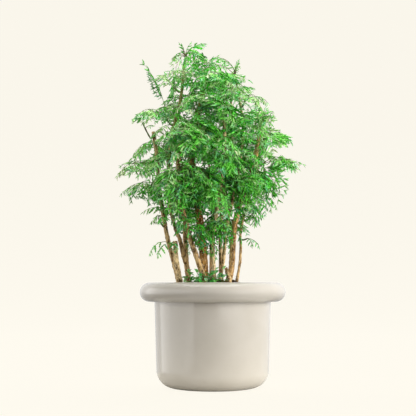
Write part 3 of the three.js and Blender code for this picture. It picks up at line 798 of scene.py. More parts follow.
class Workpiece:
    """A mesh in the making, in millimetres, with stamps that are copied into place."""

    def __init__(self):
        self.bm = bmesh.new()
        layers = self.bm.verts.layers.float
        self.tone = layers.new("tone")
        self.rib = layers.new("rib")
        self.under = layers.new("under")
        self.stamps = {}

    def add_leaflet(self, kind):
        """Makes the stamp of a leaflet, which lies along +Y with its upper face to +Z."""
        rows = LEAFLETS[kind]
        bm = self.bm
        last = len(rows) - 1
        grid = bmesh.ops.create_grid(bm, x_segments=2, y_segments=last, size=1)["verts"]
        for vert in grid:
            side, row = round(vert.co.x), round((vert.co.y + 1) / 2 * last)
            spine, margin, half = rows[row]
            along = margin if side else spine
            vert.co = (side * half, along, FOLD * abs(side) * half - CURL * along**2)
            vert[self.rib] = 1 - abs(side)
        lower = bmesh.ops.duplicate(bm, geom=[*grid, *edges_of(grid), *faces_of(grid)])["geom"]
        bmesh.ops.reverse_faces(bm, faces=only(BMFace, lower))
        low_verts = only(BMVert, lower)
        for vert in low_verts:
            if vert[self.rib] > 0 and 0 < vert.co.y < 1:
                vert.co.z -= LEAF_THICKNESS
                vert[self.under] = 1
        bmesh.ops.remove_doubles(bm, verts=grid + low_verts, dist=0.0005)
        verts = [vert for vert in grid + low_verts if vert.is_valid]
        bmesh.ops.recalc_face_normals(bm, faces=faces_of(verts))
        self.keep_stamp(kind, verts)

    def add_twig(self):
        """Makes the stamp of a thin rib: a tapered tube along +Z, one unit long and thick."""
        rings = [Matrix.Translation((0, 0, i / TWIG_STEPS)) @ Matrix.Diagonal((t, t, 1, 1))
                 for i, t in enumerate(blend(1, 0.35, i / TWIG_STEPS) for i in range(TWIG_STEPS + 1))]
        verts = self.draw_out(rings, TWIG_SIDES)
        bmesh.ops.recalc_face_normals(self.bm, faces=faces_of(verts))
        self.keep_stamp("twig", verts)

    def keep_stamp(self, kind, verts):
        self.stamps[kind] = [*verts, *edges_of(verts), *faces_of(verts)]

    def stamp(self, kind, tone):
        """Copies a stamp, and returns its points."""
        verts = only(BMVert, bmesh.ops.duplicate(self.bm, geom=self.stamps[kind])["geom"])
        for vert in verts:
            vert[self.tone] = tone
        return verts

    def draw_out(self, spots, sides):
        """A closed round stem: a circle drawn out from spot to spot, each a matrix with its radius."""
        bm = self.bm
        ring = bmesh.ops.create_circle(bm, segments=sides, radius=1, matrix=spots[0])["verts"]
        first = edges = edges_of(ring)
        verts = list(ring)
        for before, after in zip(spots, spots[1:]):
            ring, edges = draw_ring(bm, edges)
            bmesh.ops.transform(bm, matrix=after @ before.inverted(), verts=ring)
            verts += ring
        for face in faces_of(verts):
            face.smooth = True
        for loop in (first, edges):
            bmesh.ops.edgeloop_fill(bm, edges=loop)
        return verts

    def clear_stamps(self):
        """Takes the stamps out of the mesh, once all their copies are in place."""
        spare = [vert for stamp in self.stamps.values() for vert in only(BMVert, stamp)]
        bmesh.ops.delete(self.bm, geom=spare, context="VERTS")
        self.stamps = {}

    def take_in(self, part):
        """Takes over the mesh of another workpiece."""
        part.clear_stamps()
        carrier = bpy.data.meshes.new("carrier")
        part.bm.to_mesh(carrier)
        part.bm.free()
        self.bm.from_mesh(carrier)
        bpy.data.meshes.remove(carrier)

    def finish(self, name, slot, nodes, *materials):
        """Scales the work to metres, and hands it over as a piece of the object."""
        self.clear_stamps()
        if not self.bm.faces:
            raise RuntimeError(f"{name} came out empty")
        bmesh.ops.scale(self.bm, vec=(MILLIMETRE, MILLIMETRE, MILLIMETRE), verts=self.bm.verts)
        hand_over(name, self.bm, slot, nodes, *materials)


def ring_matrix(ring, radius):
    """The place of a stem's ring: its own directions, as wide as a radius."""
    turned = Matrix((ring["east"] * radius, ring["north"] * radius, ring["along"])).transposed().to_4x4()
    turned.translation = ring["at"]
    return turned


# ---- Materials ------------------------------------------------------------------------------


def new_material(name):
    material = bpy.data.materials.new(name)
    material.use_nodes = True
    material.node_tree.nodes.clear()
    return material


def add(material, kind, settings=None, links=None):
    """Adds a node, sets its properties and sockets, and links its sockets to other nodes."""
    node = material.node_tree.nodes.new(kind)
    for name, value in (settings or {}).items():
        if isinstance(name, str) and hasattr(node, name):
            setattr(node, name, value)
        elif hasattr(value, "__len__") and len(value) == 3 and node.inputs[name].type == "RGBA":
            node.inputs[name].default_value = (*value, 1)
        else:
            node.inputs[name].default_value = value
    for name, socket in (links or {}).items():
        material.node_tree.links.new(socket, node.inputs[name])
    return node


# The colour sockets of a mix node, whose names its other sockets have too.
MIX_A, MIX_B, MIX_RESULT = 6, 7, 2


def satin_glaze(pot):
    """Stoneware under a satin greige glaze, dipped and fired: broad soft reflections, a glaze that
    lies a little thicker in some places, and a surface that is never quite even."""
    glaze = new_material("Satin glaze on stoneware")
    spot = add(glaze, "ShaderNodeTexCoord").outputs["Object"]
    clouds = add(glaze, "ShaderNodeTexNoise", {"Scale": per_metre(75), "Detail": 3}, {"Vector": spot})
    thin = add(
        glaze, "ShaderNodeMapRange", {"From Min": 0.35, "From Max": 0.7}, {"Value": clouds.outputs[0]}
    )
    tint = add(
        glaze, "ShaderNodeMix", {"data_type": "RGBA", MIX_A: pot.glaze, MIX_B: pot.thin_glaze},
        {0: thin.outputs[0]},
    )
    mottle = add(glaze, "ShaderNodeTexNoise", {"Scale": per_metre(3.5), "Detail": 2}, {"Vector": spot})
    fleck = add(
        glaze, "ShaderNodeMapRange", {"From Min": 0.6, "From Max": 0.8, "To Max": 0.1},
        {"Value": mottle.outputs[0]},
    )
    flecked = add(
        glaze, "ShaderNodeMix", {"data_type": "RGBA", MIX_B: pot.fleck},
        {0: fleck.outputs[0], MIX_A: tint.outputs[MIX_RESULT]},
    )
    gloss = add(
        glaze, "ShaderNodeMapRange", {"To Min": 0.26, "To Max": 0.34}, {"Value": clouds.outputs[0]}
    )
    waves = add(glaze, "ShaderNodeTexNoise", {"Scale": per_metre(24), "Detail": 2}, {"Vector": spot})
    uneven = add(
        glaze, "ShaderNodeBump", {"Strength": 0.06, "Distance": 0.001}, {"Height": waves.outputs[0]}
    )
    surface = add(
        glaze, "ShaderNodeBsdfPrincipled",
        {"IOR": 1.5, "Specular IOR Level": 0.3, "Coat Weight": 0.8, "Coat Roughness": 0.07},
        {
            "Base Color": flecked.outputs[MIX_RESULT],
            "Roughness": gloss.outputs[0],
            "Normal": uneven.outputs[0],
        },
    )
    add(glaze, "ShaderNodeOutputMaterial", links={"Surface": surface.outputs[0]})
    return glaze


def peat_and_chips(soil):
    """Potting soil: damp peat that is nearly black in its hollows, with bark chips that dried to
    brown. tone is 0 for the peat and higher for the chips."""
    earth = new_material("Peat and composted bark")
    spot = add(earth, "ShaderNodeTexCoord").outputs["Object"]
    tone = add(earth, "ShaderNodeAttribute", {"attribute_name": "tone"})
    crumbs = add(earth, "ShaderNodeTexNoise", {"Scale": per_metre(4), "Detail": 6}, {"Vector": spot})
    tint = add(
        earth, "ShaderNodeMix", {"data_type": "RGBA", MIX_A: soil.peat, MIX_B: soil.bark_chip},
        {0: tone.outputs["Fac"]},
    )
    dry = add(
        earth, "ShaderNodeMapRange", {"From Min": 0.45, "From Max": 0.75, "To Max": 0.4},
        {"Value": crumbs.outputs[0]},
    )
    speckled = add(
        earth, "ShaderNodeMix", {"data_type": "RGBA", MIX_B: soil.dry_crumb},
        {0: dry.outputs[0], MIX_A: tint.outputs[MIX_RESULT]},
    )
    grain = add(
        earth, "ShaderNodeBump", {"Strength": 0.8, "Distance": 0.002}, {"Height": crumbs.outputs[0]}
    )
    surface = add(
        earth, "ShaderNodeBsdfPrincipled", {"Roughness": 0.92, "IOR": 1.4},
        {"Base Color": speckled.outputs[MIX_RESULT], "Normal": grain.outputs[0]},
    )
    add(earth, "ShaderNodeOutputMaterial", links={"Surface": surface.outputs[0]})
    return earth


def corky_bark(canes):
    """Aralia bark: corky and dull, split by fine fissures along the cane and dotted with paler
    lenticels across it. tone is the cane's own shade, and rib how green its skin still is."""
    bark = new_material("Corky aralia bark")
    spot = add(bark, "ShaderNodeTexCoord").outputs["Object"]
    tone = add(bark, "ShaderNodeAttribute", {"attribute_name": "tone"})
    young = add(bark, "ShaderNodeAttribute", {"attribute_name": "rib"})
    base = add(
        bark, "ShaderNodeMix", {"data_type": "RGBA", MIX_A: canes.dark, MIX_B: canes.pale},
        {0: tone.outputs["Fac"]},
    )
    patches = add(bark, "ShaderNodeTexNoise", {"Scale": per_metre(14), "Detail": 4}, {"Vector": spot})
    weathered = add(
        bark, "ShaderNodeMapRange", {"From Min": 0.45, "From Max": 0.72, "To Max": 0.35},
        {"Value": patches.outputs[0]},
    )
    patched = add(
        bark, "ShaderNodeMix", {"data_type": "RGBA", MIX_B: canes.dark},
        {0: weathered.outputs[0], MIX_A: base.outputs[MIX_RESULT]},
    )
    along = add(bark, "ShaderNodeMapping", {"Scale": (1, 1, 0.42)}, {"Vector": spot})
    cracks = add(
        bark, "ShaderNodeTexNoise", {"Scale": per_metre(7.5), "Detail": 5, "Roughness": 0.8},
        {"Vector": along.outputs[0]},
    )
    cracked = add(
        bark, "ShaderNodeMapRange", {"From Min": 0.54, "From Max": 0.43, "To Max": 0.95},
        {"Value": cracks.outputs[0]},
    )
    split = add(
        bark, "ShaderNodeMix", {"data_type": "RGBA", MIX_B: canes.fissure},
        {0: cracked.outputs[0], MIX_A: patched.outputs[MIX_RESULT]},
    )
    across = add(bark, "ShaderNodeMapping", {"Scale": (1, 1, 2.4)}, {"Vector": spot})
    dots = add(
        bark, "ShaderNodeTexVoronoi", {"Scale": per_metre(6.5), "Randomness": 0.9},
        {"Vector": across.outputs[0]},
    )
    dotted = add(
        bark, "ShaderNodeMapRange", {"From Min": 0.3, "From Max": 0.16, "To Max": 0.75},
        {"Value": dots.outputs["Distance"]},
    )
    spotted = add(
        bark, "ShaderNodeMix", {"data_type": "RGBA", MIX_B: canes.lenticel},
        {0: dotted.outputs[0], MIX_A: split.outputs[MIX_RESULT]},
    )
    greened = add(
        bark, "ShaderNodeMix", {"data_type": "RGBA", MIX_B: canes.green_wood},
        {0: young.outputs["Fac"], MIX_A: spotted.outputs[MIX_RESULT]},
    )
    relief = add(
        bark, "ShaderNodeMath", {"operation": "ADD"}, {0: cracks.outputs[0], 1: dotted.outputs[0]}
    )
    rough = add(
        bark, "ShaderNodeBump", {"Strength": 0.7, "Distance": 0.0007}, {"Height": relief.outputs[0]}
    )
    surface = add(
        bark, "ShaderNodeBsdfPrincipled", {"Roughness": 0.78, "IOR": 1.45},
        {"Base Color": greened.outputs[MIX_RESULT], "Normal": rough.outputs[0]},
    )
    add(bark, "ShaderNodeOutputMaterial", links={"Surface": surface.outputs[0]})
    return bark


def weathered_cut(canes):
    """The face of an old pruning cut: grey-brown end grain, dry and dull."""
    cut = new_material("Weathered end grain")
    spot = add(cut, "ShaderNodeTexCoord").outputs["Object"]
    grain = add(cut, "ShaderNodeTexNoise", {"Scale": per_metre(1.6), "Detail": 3}, {"Vector": spot})
    tint = add(
        cut, "ShaderNodeMix", {"data_type": "RGBA", MIX_A: canes.fissure, MIX_B: canes.cut_wood},
        {0: grain.outputs[0]},
    )
    rough = add(cut, "ShaderNodeBump", {"Strength": 0.6, "Distance": 0.0005}, {"Height": grain.outputs[0]})
    surface = add(
        cut, "ShaderNodeBsdfPrincipled", {"Roughness": 0.88, "IOR": 1.45},
        {"Base Color": tint.outputs[MIX_RESULT], "Normal": rough.outputs[0]},
    )
    add(cut, "ShaderNodeOutputMaterial", links={"Surface": surface.outputs[0]})
    return cut


def waxy_leaf(name, fronds, full_grown):
    """A leaf with a thin waxy skin: soft sheen above, paler and duller below, with a light rib, and a
    blue-green painted sheen in patches. tone goes from the dark to the pale leaflets: older to younger,
    with painted shade at the crown's far right and painted highlight on the palest, rib is 1 along the
    midrib, and under 1 on the lower face."""
    leaf = new_material(name)
    spot = add(leaf, "ShaderNodeTexCoord").outputs["Object"]
    tone = add(leaf, "ShaderNodeAttribute", {"attribute_name": "tone"})
    rib = add(leaf, "ShaderNodeAttribute", {"attribute_name": "rib"})
    under = add(leaf, "ShaderNodeAttribute", {"attribute_name": "under"})
    older = add(
        leaf, "ShaderNodeMapRange", {"From Max": 0.5}, {"Value": tone.outputs["Fac"]}
    )
    younger = add(
        leaf, "ShaderNodeMapRange", {"From Min": 0.5}, {"Value": tone.outputs["Fac"]}
    )
    # From the dark end of the tone: older leaflets, and painted shade at the crown's far right.
    grown = add(
        leaf, "ShaderNodeMix", {"data_type": "RGBA", MIX_A: fronds.deep, MIX_B: full_grown},
        {0: older.outputs[0]},
    )
    # Toward the pale end of the tone: young leaflets, and painted highlight on the palest ones.
    young_and_highlight_mix = add(
        leaf, "ShaderNodeMix", {"data_type": "RGBA", MIX_B: fronds.young_and_highlight},
        {0: younger.outputs[0], MIX_A: grown.outputs[MIX_RESULT]},
    )
    # Painted sheen: patches of the leaflets are painted blue-green, where the waxy skin would reflect the
    # light.
    patches = add(leaf, "ShaderNodeTexNoise", {"Scale": per_metre(26), "Detail": 2}, {"Vector": spot})
    painted_sheen = add(
        leaf, "ShaderNodeMapRange", {"From Min": 0.52, "From Max": 0.66, "To Max": 0.65},
        {"Value": patches.outputs[0]},
    )
    with_painted_sheen = add(
        leaf, "ShaderNodeMix", {"data_type": "RGBA", MIX_B: fronds.blue},
        {0: painted_sheen.outputs[0], MIX_A: young_and_highlight_mix.outputs[MIX_RESULT]},
    )
    cells = add(leaf, "ShaderNodeTexNoise", {"Scale": per_metre(6), "Detail": 3}, {"Vector": spot})
    mottle = add(
        leaf, "ShaderNodeMapRange", {"From Min": 0.45, "From Max": 0.75, "To Max": 0.35},
        {"Value": cells.outputs[0]},
    )
    mottled = add(
        leaf, "ShaderNodeMix", {"data_type": "RGBA", MIX_B: fronds.deep},
        {0: mottle.outputs[0], MIX_A: with_painted_sheen.outputs[MIX_RESULT]},
    )
    ribbed = add(
        leaf, "ShaderNodeMapRange", {"From Min": 0.72, "From Max": 1, "To Max": 0.5},
        {"Value": rib.outputs["Fac"]},
    )
    veined = add(
        leaf, "ShaderNodeMix", {"data_type": "RGBA", MIX_B: fronds.rib},
        {0: ribbed.outputs[0], MIX_A: mottled.outputs[MIX_RESULT]},
    )
    pale = add(
        leaf, "ShaderNodeMapRange", {"To Max": 0.8}, {"Value": under.outputs["Fac"]}
    )
    faced = add(
        leaf, "ShaderNodeMix", {"data_type": "RGBA", MIX_B: fronds.under},
        {0: pale.outputs[0], MIX_A: veined.outputs[MIX_RESULT]},
    )
    dull = add(
        leaf, "ShaderNodeMapRange", {"To Min": 0.22, "To Max": 0.5}, {"Value": under.outputs["Fac"]}
    )
    blister = add(
        leaf, "ShaderNodeBump", {"Strength": 0.25, "Distance": 0.0004}, {"Height": cells.outputs[0]}
    )
    surface = add(
        leaf, "ShaderNodeBsdfPrincipled", {"IOR": 1.45, "Specular IOR Level": 0.24},
        {
            "Base Color": faced.outputs[MIX_RESULT],
            "Roughness": dull.outputs[0],
            "Normal": blister.outputs[0],
        },
    )
    add(leaf, "ShaderNodeOutputMaterial", links={"Surface": surface.outputs[0]})
    return leaf


def green_stalk(fronds):
    """Young wood and leaf stalks: a smooth green skin with a brownish side."""
    stalk = new_material("Green aralia stalk")
    spot = add(stalk, "ShaderNodeTexCoord").outputs["Object"]
    streaks = add(stalk, "ShaderNodeTexNoise", {"Scale": per_metre(22), "Detail": 2}, {"Vector": spot})
    brown = add(
        stalk, "ShaderNodeMapRange", {"From Min": 0.42, "From Max": 0.62}, {"Value": streaks.outputs[0]}
    )
    tint = add(
        stalk, "ShaderNodeMix", {"data_type": "RGBA", MIX_A: fronds.stalk, MIX_B: fronds.stalk_shade},
        {0: brown.outputs[0]},
    )
    fibre = add(stalk, "ShaderNodeTexNoise", {"Scale": per_metre(1.2), "Detail": 2}, {"Vector": spot})
    ridged = add(
        stalk, "ShaderNodeBump", {"Strength": 0.3, "Distance": 0.0003}, {"Height": fibre.outputs[0]}
    )
    surface = add(
        stalk, "ShaderNodeBsdfPrincipled", {"Roughness": 0.5, "IOR": 1.45},
        {"Base Color": tint.outputs[MIX_RESULT], "Normal": ridged.outputs[0]},
    )
    add(stalk, "ShaderNodeOutputMaterial", links={"Surface": surface.outputs[0]})
    return stalk


def matt_paper(name, stage, reflected, shown):
    """Uncoated cream paper or card with a fine felt and no shine. reflected is the share of its colour
    that it sends on as light, and shown the share that it shows evenly, whatever light falls on it."""
    paper = new_material(name)
    spot = add(paper, "ShaderNodeTexCoord").outputs["Object"]
    fibre = add(paper, "ShaderNodeTexNoise", {"Scale": per_metre(3), "Detail": 2}, {"Vector": spot})
    felt = add(
        paper, "ShaderNodeBump", {"Strength": 0.05, "Distance": 0.0002}, {"Height": fibre.outputs[0]}
    )
    surface = add(
        paper, "ShaderNodeBsdfPrincipled",
        {
            "Base Color": [reflected * value for value in stage.backdrop],
            "Roughness": 0.9,
            "Specular IOR Level": 0,
            "Emission Color": stage.backdrop,
            "Emission Strength": shown,
        },
        {"Normal": felt.outputs[0]},
    )
    add(paper, "ShaderNodeOutputMaterial", links={"Surface": surface.outputs[0]})
    return paper


# ---- Pot ------------------------------------------------------------------------------------


def draw_line(bm, vert, to):
    """Carries a profile on in a straight line."""
    drawn = bmesh.ops.extrude_vert_indiv(bm, verts=[vert])["verts"][0]
    drawn.co = to
    return drawn


def draw_arc(bm, vert, centre, degrees, steps):
    """Carries a profile on along an arc round a centre."""
    turned = bmesh.ops.spin(
        bm, geom=[vert], cent=centre, axis=(0, 1, 0), angle=math.radians(degrees), steps=steps
    )["geom_last"]
    return only(BMVert, turned)[0]


def turn_profile(bm, sides):
    """Turns the profile round the middle into a closed body whose faces point outwards."""
    bmesh.ops.spin(
        bm, geom=[*bm.verts, *bm.edges], cent=(0, 0, 0), axis=(0, 0, 1), angle=2 * math.pi,
        steps=sides, use_merge=True,
    )
    bmesh.ops.remove_doubles(bm, verts=bm.verts, dist=0.00001)
    bmesh.ops.recalc_face_normals(bm, faces=bm.faces)


class ARALIA_OT_turn_pot(bpy.types.Operator):
    """Turn the glazed planter with its rounded foot and rolled rim"""

    bl_idname = "aralia.turn_pot"
    bl_label = "Turn the pot"

    def execute(self, context):
        pot = context.scene.aralia.pot
        bm = bmesh.new()
        rim_x = pot.rim_radius - pot.rim_section
        rim_z = pot.height - pot.rim_section
        tuck = math.asin((rim_x - pot.top_radius) / pot.rim_section)
        crease_z = rim_z - pot.rim_section * math.cos(tuck)
        corner = pot.corner_radius
        foot_x = pot.low_radius - corner
        inner_corner = corner - pot.wall
        vert = bmesh.ops.create_vert(bm, co=(0, 0, 0))["vert"][0]
        vert = draw_line(bm, vert, (foot_x, 0, 0))
        vert = draw_arc(bm, vert, (foot_x, 0, corner), -90, 14)
        # The last ring but one keeps the wall's shading straight up to the crease under the rim.
        for share in (0.02, 0.34, 0.66, 0.985, 1):
            x = blend(pot.low_radius, pot.top_radius, share)
            vert = draw_line(bm, vert, (x, 0, blend(corner, crease_z, share)))
        vert = draw_arc(bm, vert, (rim_x, 0, rim_z), -270 - math.degrees(tuck), 44)
        vert = draw_line(bm, vert, (foot_x + inner_corner, 0, corner))
        vert = draw_arc(bm, vert, (foot_x, 0, corner), 90, 8)
        draw_line(bm, vert, (0, 0, pot.wall))
        turn_profile(bm, pot.sides)
        for face in bm.faces:
            face.smooth = True
        hand_over("glazed_pot", bm, "pot_glaze", ["pot"], satin_glaze(pot))
        return {"FINISHED"}


# ---- Soil -----------------------------------------------------------------------------------


# The scene's soil keeps this far inside its plan's edge, and goes this far down from it, out of sight.
SOIL_CLEAR = 0.5
SOIL_DEPTH = 40
# The heap round a cane reaches about this far, and the crumbs stand about this high.
HEAP_WIDTH = 16
CRUMB = 1.3


def soil_height(x, y, heap):
    """The soil's surface: a lumpy mound, heaped a little round each cane."""
    plan = SOIL_PLAN
    inward = 1 - (x * x + y * y) / plan["edge_radius"] ** 2
    lumps = math.sin(x / 17 + 1.3) * math.cos(y / 15) + 0.6 * math.sin((x + y) / 9)
    height = plan["edge_height"] + (plan["mound"] + plan["lump"] * lumps) * inward
    for cane in CANES:
        foot = Vector(cane["stems"][0]["points"][1])
        away = (x - foot.x) ** 2 + (y - foot.y) ** 2
        height += heap * math.exp(-away / HEAP_WIDTH**2) * inward
    crumbs = noise.noise(Vector((x, y, 0)) / 7) + 0.6 * noise.noise(Vector((x, y, 9)) / 3)
    return height + CRUMB * crumbs


class ARALIA_OT_fill_soil(bpy.types.Operator):
    """Fill the pot with a lumpy mound of soil and scatter bark chips on it"""

    bl_idname = "aralia.fill_soil"
    bl_label = "Fill in the soil"

    def execute(self, context):
        soil = context.scene.aralia.soil
        work = Workpiece()
        bm = work.bm
        edge = SOIL_PLAN["edge_radius"] - SOIL_CLEAR
        heap = soil.heap / MILLIMETRE
        rings, sides = 48, 140
        ring = bmesh.ops.create_circle(bm, segments=sides, radius=edge)["verts"]
        edges = edges_of(ring)
        low = bmesh.ops.edgeloop_fill(bm, edges=edges)["faces"]
        bmesh.ops.translate(bm, vec=(0, 0, SOIL_PLAN["edge_height"] - SOIL_DEPTH), verts=ring)
        radius = edge
        for i in range(rings):
            ring, edges = draw_ring(bm, edges)
            wanted = edge * (1 - i / rings)
            bmesh.ops.scale(bm, vec=(wanted / radius, wanted / radius, 1), verts=ring)
            radius = wanted
            for vert in ring:
                vert.co.z = soil_height(vert.co.x, vert.co.y, heap)
        bmesh.ops.edgeloop_fill(bm, edges=edges)
        bmesh.ops.recalc_face_normals(bm, faces=bm.faces)
        for face in bm.faces:
            face.smooth = face not in low

        draw = seeded_draws(5)
        chip = bmesh.ops.create_icosphere(bm, subdivisions=1, radius=1)["verts"]
        for vert in chip:
            vert.co *= 0.75 + 0.5 * draw()
        work.keep_stamp("chip", chip)
        for _ in range(soil.chips):
            away, round_angle = (edge - 4) * math.sqrt(draw()), 2 * math.pi * draw()
            x, y = away * math.cos(round_angle), away * math.sin(round_angle)
            size = soil.chip / MILLIMETRE * (0.4 + 1.1 * draw() ** 2)
            turned = Matrix.Rotation(2 * math.pi * draw(), 4, "Z")
            turned = turned @ Matrix.Rotation(1.2 * draw() - 0.6, 4, "X")
            shaped = Matrix.Diagonal((size, size * (0.5 + 0.4 * draw()), size * (0.25 + 0.35 * draw()), 1))
            lift = Matrix.Translation((x, y, soil_height(x, y, heap) + 0.15 * size))
            bmesh.ops.transform(
                bm, matrix=lift @ turned @ shaped, verts=work.stamp("chip", 0.2 + 0.8 * draw())
            )
        work.finish("potting_soil", "potting_soil", ["soil"], peat_and_chips(soil))
        return {"FINISHED"}


# ---- Canes ----------------------------------------------------------------------------------


# How much fuller than its plan a cane is with its bark on.
BARK_FULLNESS = 1.08
# The flare over the soil, the leaf scars' wavering spacing and the worn edge of a cut. A share is
# one of the radius, and each fades out over a distance.
FLARE = {"from": 275, "share": 0.22, "fade": 14}
SCAR = {"waver": 0.23, "every": 31, "fade": 1.6}
WORN = {"share": 0.14, "fade": 1.4}
# The bark greens from this height up, to a share that it reaches this much higher.
GREEN = {"from": 560, "share": 0.75, "over": 260}


def bark_radius(ring, travelled, canes, cut_at, fullness):
    """The stem's radius with its flare at the foot, its leaf scars, and the worn edge of a cut."""
    radius = ring["radius"] * fullness
    flare = math.exp(-max(0, ring["at"].z - FLARE["from"]) / FLARE["fade"])
    radius *= 1 + FLARE["share"] * flare
    spacing = canes.scar_spacing / MILLIMETRE
    phase = (travelled / spacing + SCAR["waver"] * math.sin(travelled / SCAR["every"])) % 1
    radius += canes.scar / MILLIMETRE * math.exp(-(((phase - 0.5) * spacing) / SCAR["fade"]) ** 2)
    if cut_at is not None:
        radius *= 1 - WORN["share"] * math.exp(-(cut_at - travelled) / WORN["fade"])
    return radius


def grow_stem(work, stem, shade, cut, fullness, canes):
    """One stem of a cane, with its bark's relief."""
    points = plan_points(stem)
    whole = curve_length(points)
    steps = round(whole * MILLIMETRE / canes.step)
    rings = stem_rings(points, stem["radii"], steps)
    travelled = [whole * i / steps for i in range(steps + 1)]
    spots = [
        ring_matrix(ring, bark_radius(ring, way, canes, whole if cut else None, fullness))
        for ring, way in zip(rings, travelled)
    ]
    verts = work.draw_out(spots, canes.sides)
    depth = canes.furrow / MILLIMETRE
    middles = [ring["at"] for ring in rings]
    for i, vert in enumerate(verts):
        middle = middles[i // canes.sides]
        out = (vert.co - middle).normalized()
        long = Vector((vert.co.x / 4, vert.co.y / 4, vert.co.z / 18))
        relief = noise.noise(long) + 0.7 * noise.noise(vert.co / 3.1)
        vert.co += out * depth * relief * (1.5 - shade)
        vert[work.tone] = shade + 0.15 * noise.noise(vert.co / 40)
        green = GREEN["share"] * clamped((vert.co.z - GREEN["from"]) / GREEN["over"])
        vert[work.rib] = 0 if cut else green
    if cut:
        for face in faces_of(verts[-canes.sides :]):
            if len(face.verts) > 4:
                face.material_index = 1


class ARALIA_OT_grow_canes(bpy.types.Operator):
    """Grow the woody canes with their leaf scars, furrows and pruning cuts"""

    bl_idname = "aralia.grow_canes"
    bl_label = "Grow the canes"

    def execute(self, context):
        canes = context.scene.aralia.canes
        bark, cut_face = corky_bark(canes), weathered_cut(canes)
        for cane in CANES:
            work = Workpiece()
            for stem in cane["stems"]:
                full = cane.get("full", BARK_FULLNESS)
                grow_stem(work, stem, cane["shade"], cane.get("cut", False), full, canes)
            bmesh.ops.recalc_face_normals(work.bm, faces=work.bm.faces)
            work.finish(f"bark_{cane['name']}", "cane_bark", [cane["name"]], bark, cut_face)
        return {"FINISHED"}


# ---- Fronds ---------------------------------------------------------------------------------

# Length of the side leaves by their place on the midrib, as a share of the frond's length.
BLADE = [(0.34, 0.27), (0.41, 0.35), (0.59, 0.32), (0.76, 0.24), (0.86, 0.17)]
FIRST_PAIR, LAST_PAIR = 0.35, 0.82
PAIR_ANGLES = (64, 44)
PAIR_SAG = (22, 40)

# Pairs of leaflets on a side leaf, by its length, and a leaflet's length as a share of it.
LEAFLET_PAIRS = [(0, 0), (15, 1), (26, 2), (42, 3), (58, 4)]
LEAFLET_SHARES = (0.6, 0.42)
LEAFLET_ANGLES = (52, 30)
LEAFLET_SAG = (-8, 50)
LEAFLET_ROLL = 62
SHORTEST_LEAFLET = 8
SPARE = Vector((0.0005, 0.0005, 0.001))

# Fronds shorter than this have plain, long leaflets in place of divided side leaves.
PLAIN_BELOW = 86


def side_frame(spot, side, angle, sag):
    """The directions of what leaves a rib at an angle and sags a little."""
    lean, drop = math.radians(angle), math.radians(sag)
    out = spot["across"] * side * math.cos(drop) - spot["normal"] * math.sin(drop)
    along = spot["along"] * math.cos(lean) + out * math.sin(lean)
    normal = (spot["along"].cross(out) * side).normalized()
    return {"along": along, "normal": normal, "across": along.cross(normal).normalized()}


def fits(at):
    """Whether a point, in millimetres, lies within the frame's own box, with half a millimetre to spare."""
    low, high = CAD_BOX
    return all(a < value * MILLIMETRE < b for a, value, b in zip(low + SPARE, at, high - SPARE))


def fitting_reach(at, directions, reach):
    """The reach of a leaf that is cut back until its tip lies within the frame's box."""
    hooked = directions["along"] - directions["normal"] * HOOK
    while reach > SHORTEST_LEAFLET and not fits(at + hooked * reach):
        reach *= 0.85
    return reach


def lay_leaflet(work, kind, at, directions, roll, reach, width, tone):
    """Lays a copy of a leaflet at a spot, turned about its own midrib."""
    reach = fitting_reach(at, directions, reach)
    if not fits(at + directions["along"] * reach):
        return
    turn = Matrix.Rotation(math.radians(roll), 3, directions["along"])
    across, normal = turn @ directions["across"], turn @ directions["normal"]
    place = Matrix((across * reach * width, directions["along"] * reach, normal * reach))
    place = place.transposed().to_4x4()
    place.translation = at
    bmesh.ops.transform(work.bm, matrix=place, verts=work.stamp(kind, tone))


def lay_rib(work, spot_at, radius, tone):
    """Bends a copy of the twig along a rib, whose spots give its middle and two directions."""
    for vert in work.stamp("twig", tone):
        middle, across, normal = spot_at(vert.co.z)
        vert.co = middle + (across * vert.co.x + normal * vert.co.y) * radius


def grow_side_leaf(work, at, directions, reach, tone, fronds, draw):
    """A side leaf of the frond: a rib that hooks down, pairs of leaflets, and one at its tip."""
    along, across, normal = directions["along"], directions["across"], directions["normal"]
    reach = fitting_reach(at, directions, reach)

    def rib_spot(share):
        return at + along * reach * share - normal * HOOK * reach * share**2, across, normal

    lay_rib(work, rib_spot, blend(0.28, 0.5, min(1, reach / 70)), tone)
    tone += 0.5 * (draw() - 0.5)
    pairs = next(count for shortest, count in reversed(LEAFLET_PAIRS) if reach >= shortest)
    for i in range(pairs):
        for side in (-1, 1):
            share = 0.46 if pairs == 1 else blend(0.2, 0.72, i / (pairs - 1))
            share += 0.02 * side + 0.03 * (draw() - 0.5)
            size = reach * blend(*LEAFLET_SHARES, share) * (0.85 + 0.3 * draw())
            angle = blend(*LEAFLET_ANGLES, share) + 14 * (draw() - 0.5)
            leaflet = side_frame(directions, side, angle, blend(*LEAFLET_SAG, draw()))
            kind = "lobed" if size > 24 and i == 0 else "toothed" if size > 15 else "narrow"
            lay_leaflet(
                work, kind, rib_spot(share)[0], leaflet, LEAFLET_ROLL * (2 * draw() - 1),
                max(SHORTEST_LEAFLET, size), fronds.leaflet_width, tone + 0.7 * (draw() - 0.5),
            )
    size = min(reach, max(11, 0.32 * reach))
    tip = {"along": (along - normal * 2 * HOOK).normalized(), "across": across}
    tip["normal"] = across.cross(tip["along"])
    lay_leaflet(
        work, "lobed" if size > 15 else "toothed", rib_spot(1 - size / reach)[0], tip,
        30 * (draw() - 0.5), size, fronds.leaflet_width, tone + 0.25 * (draw() - 0.5),
    )


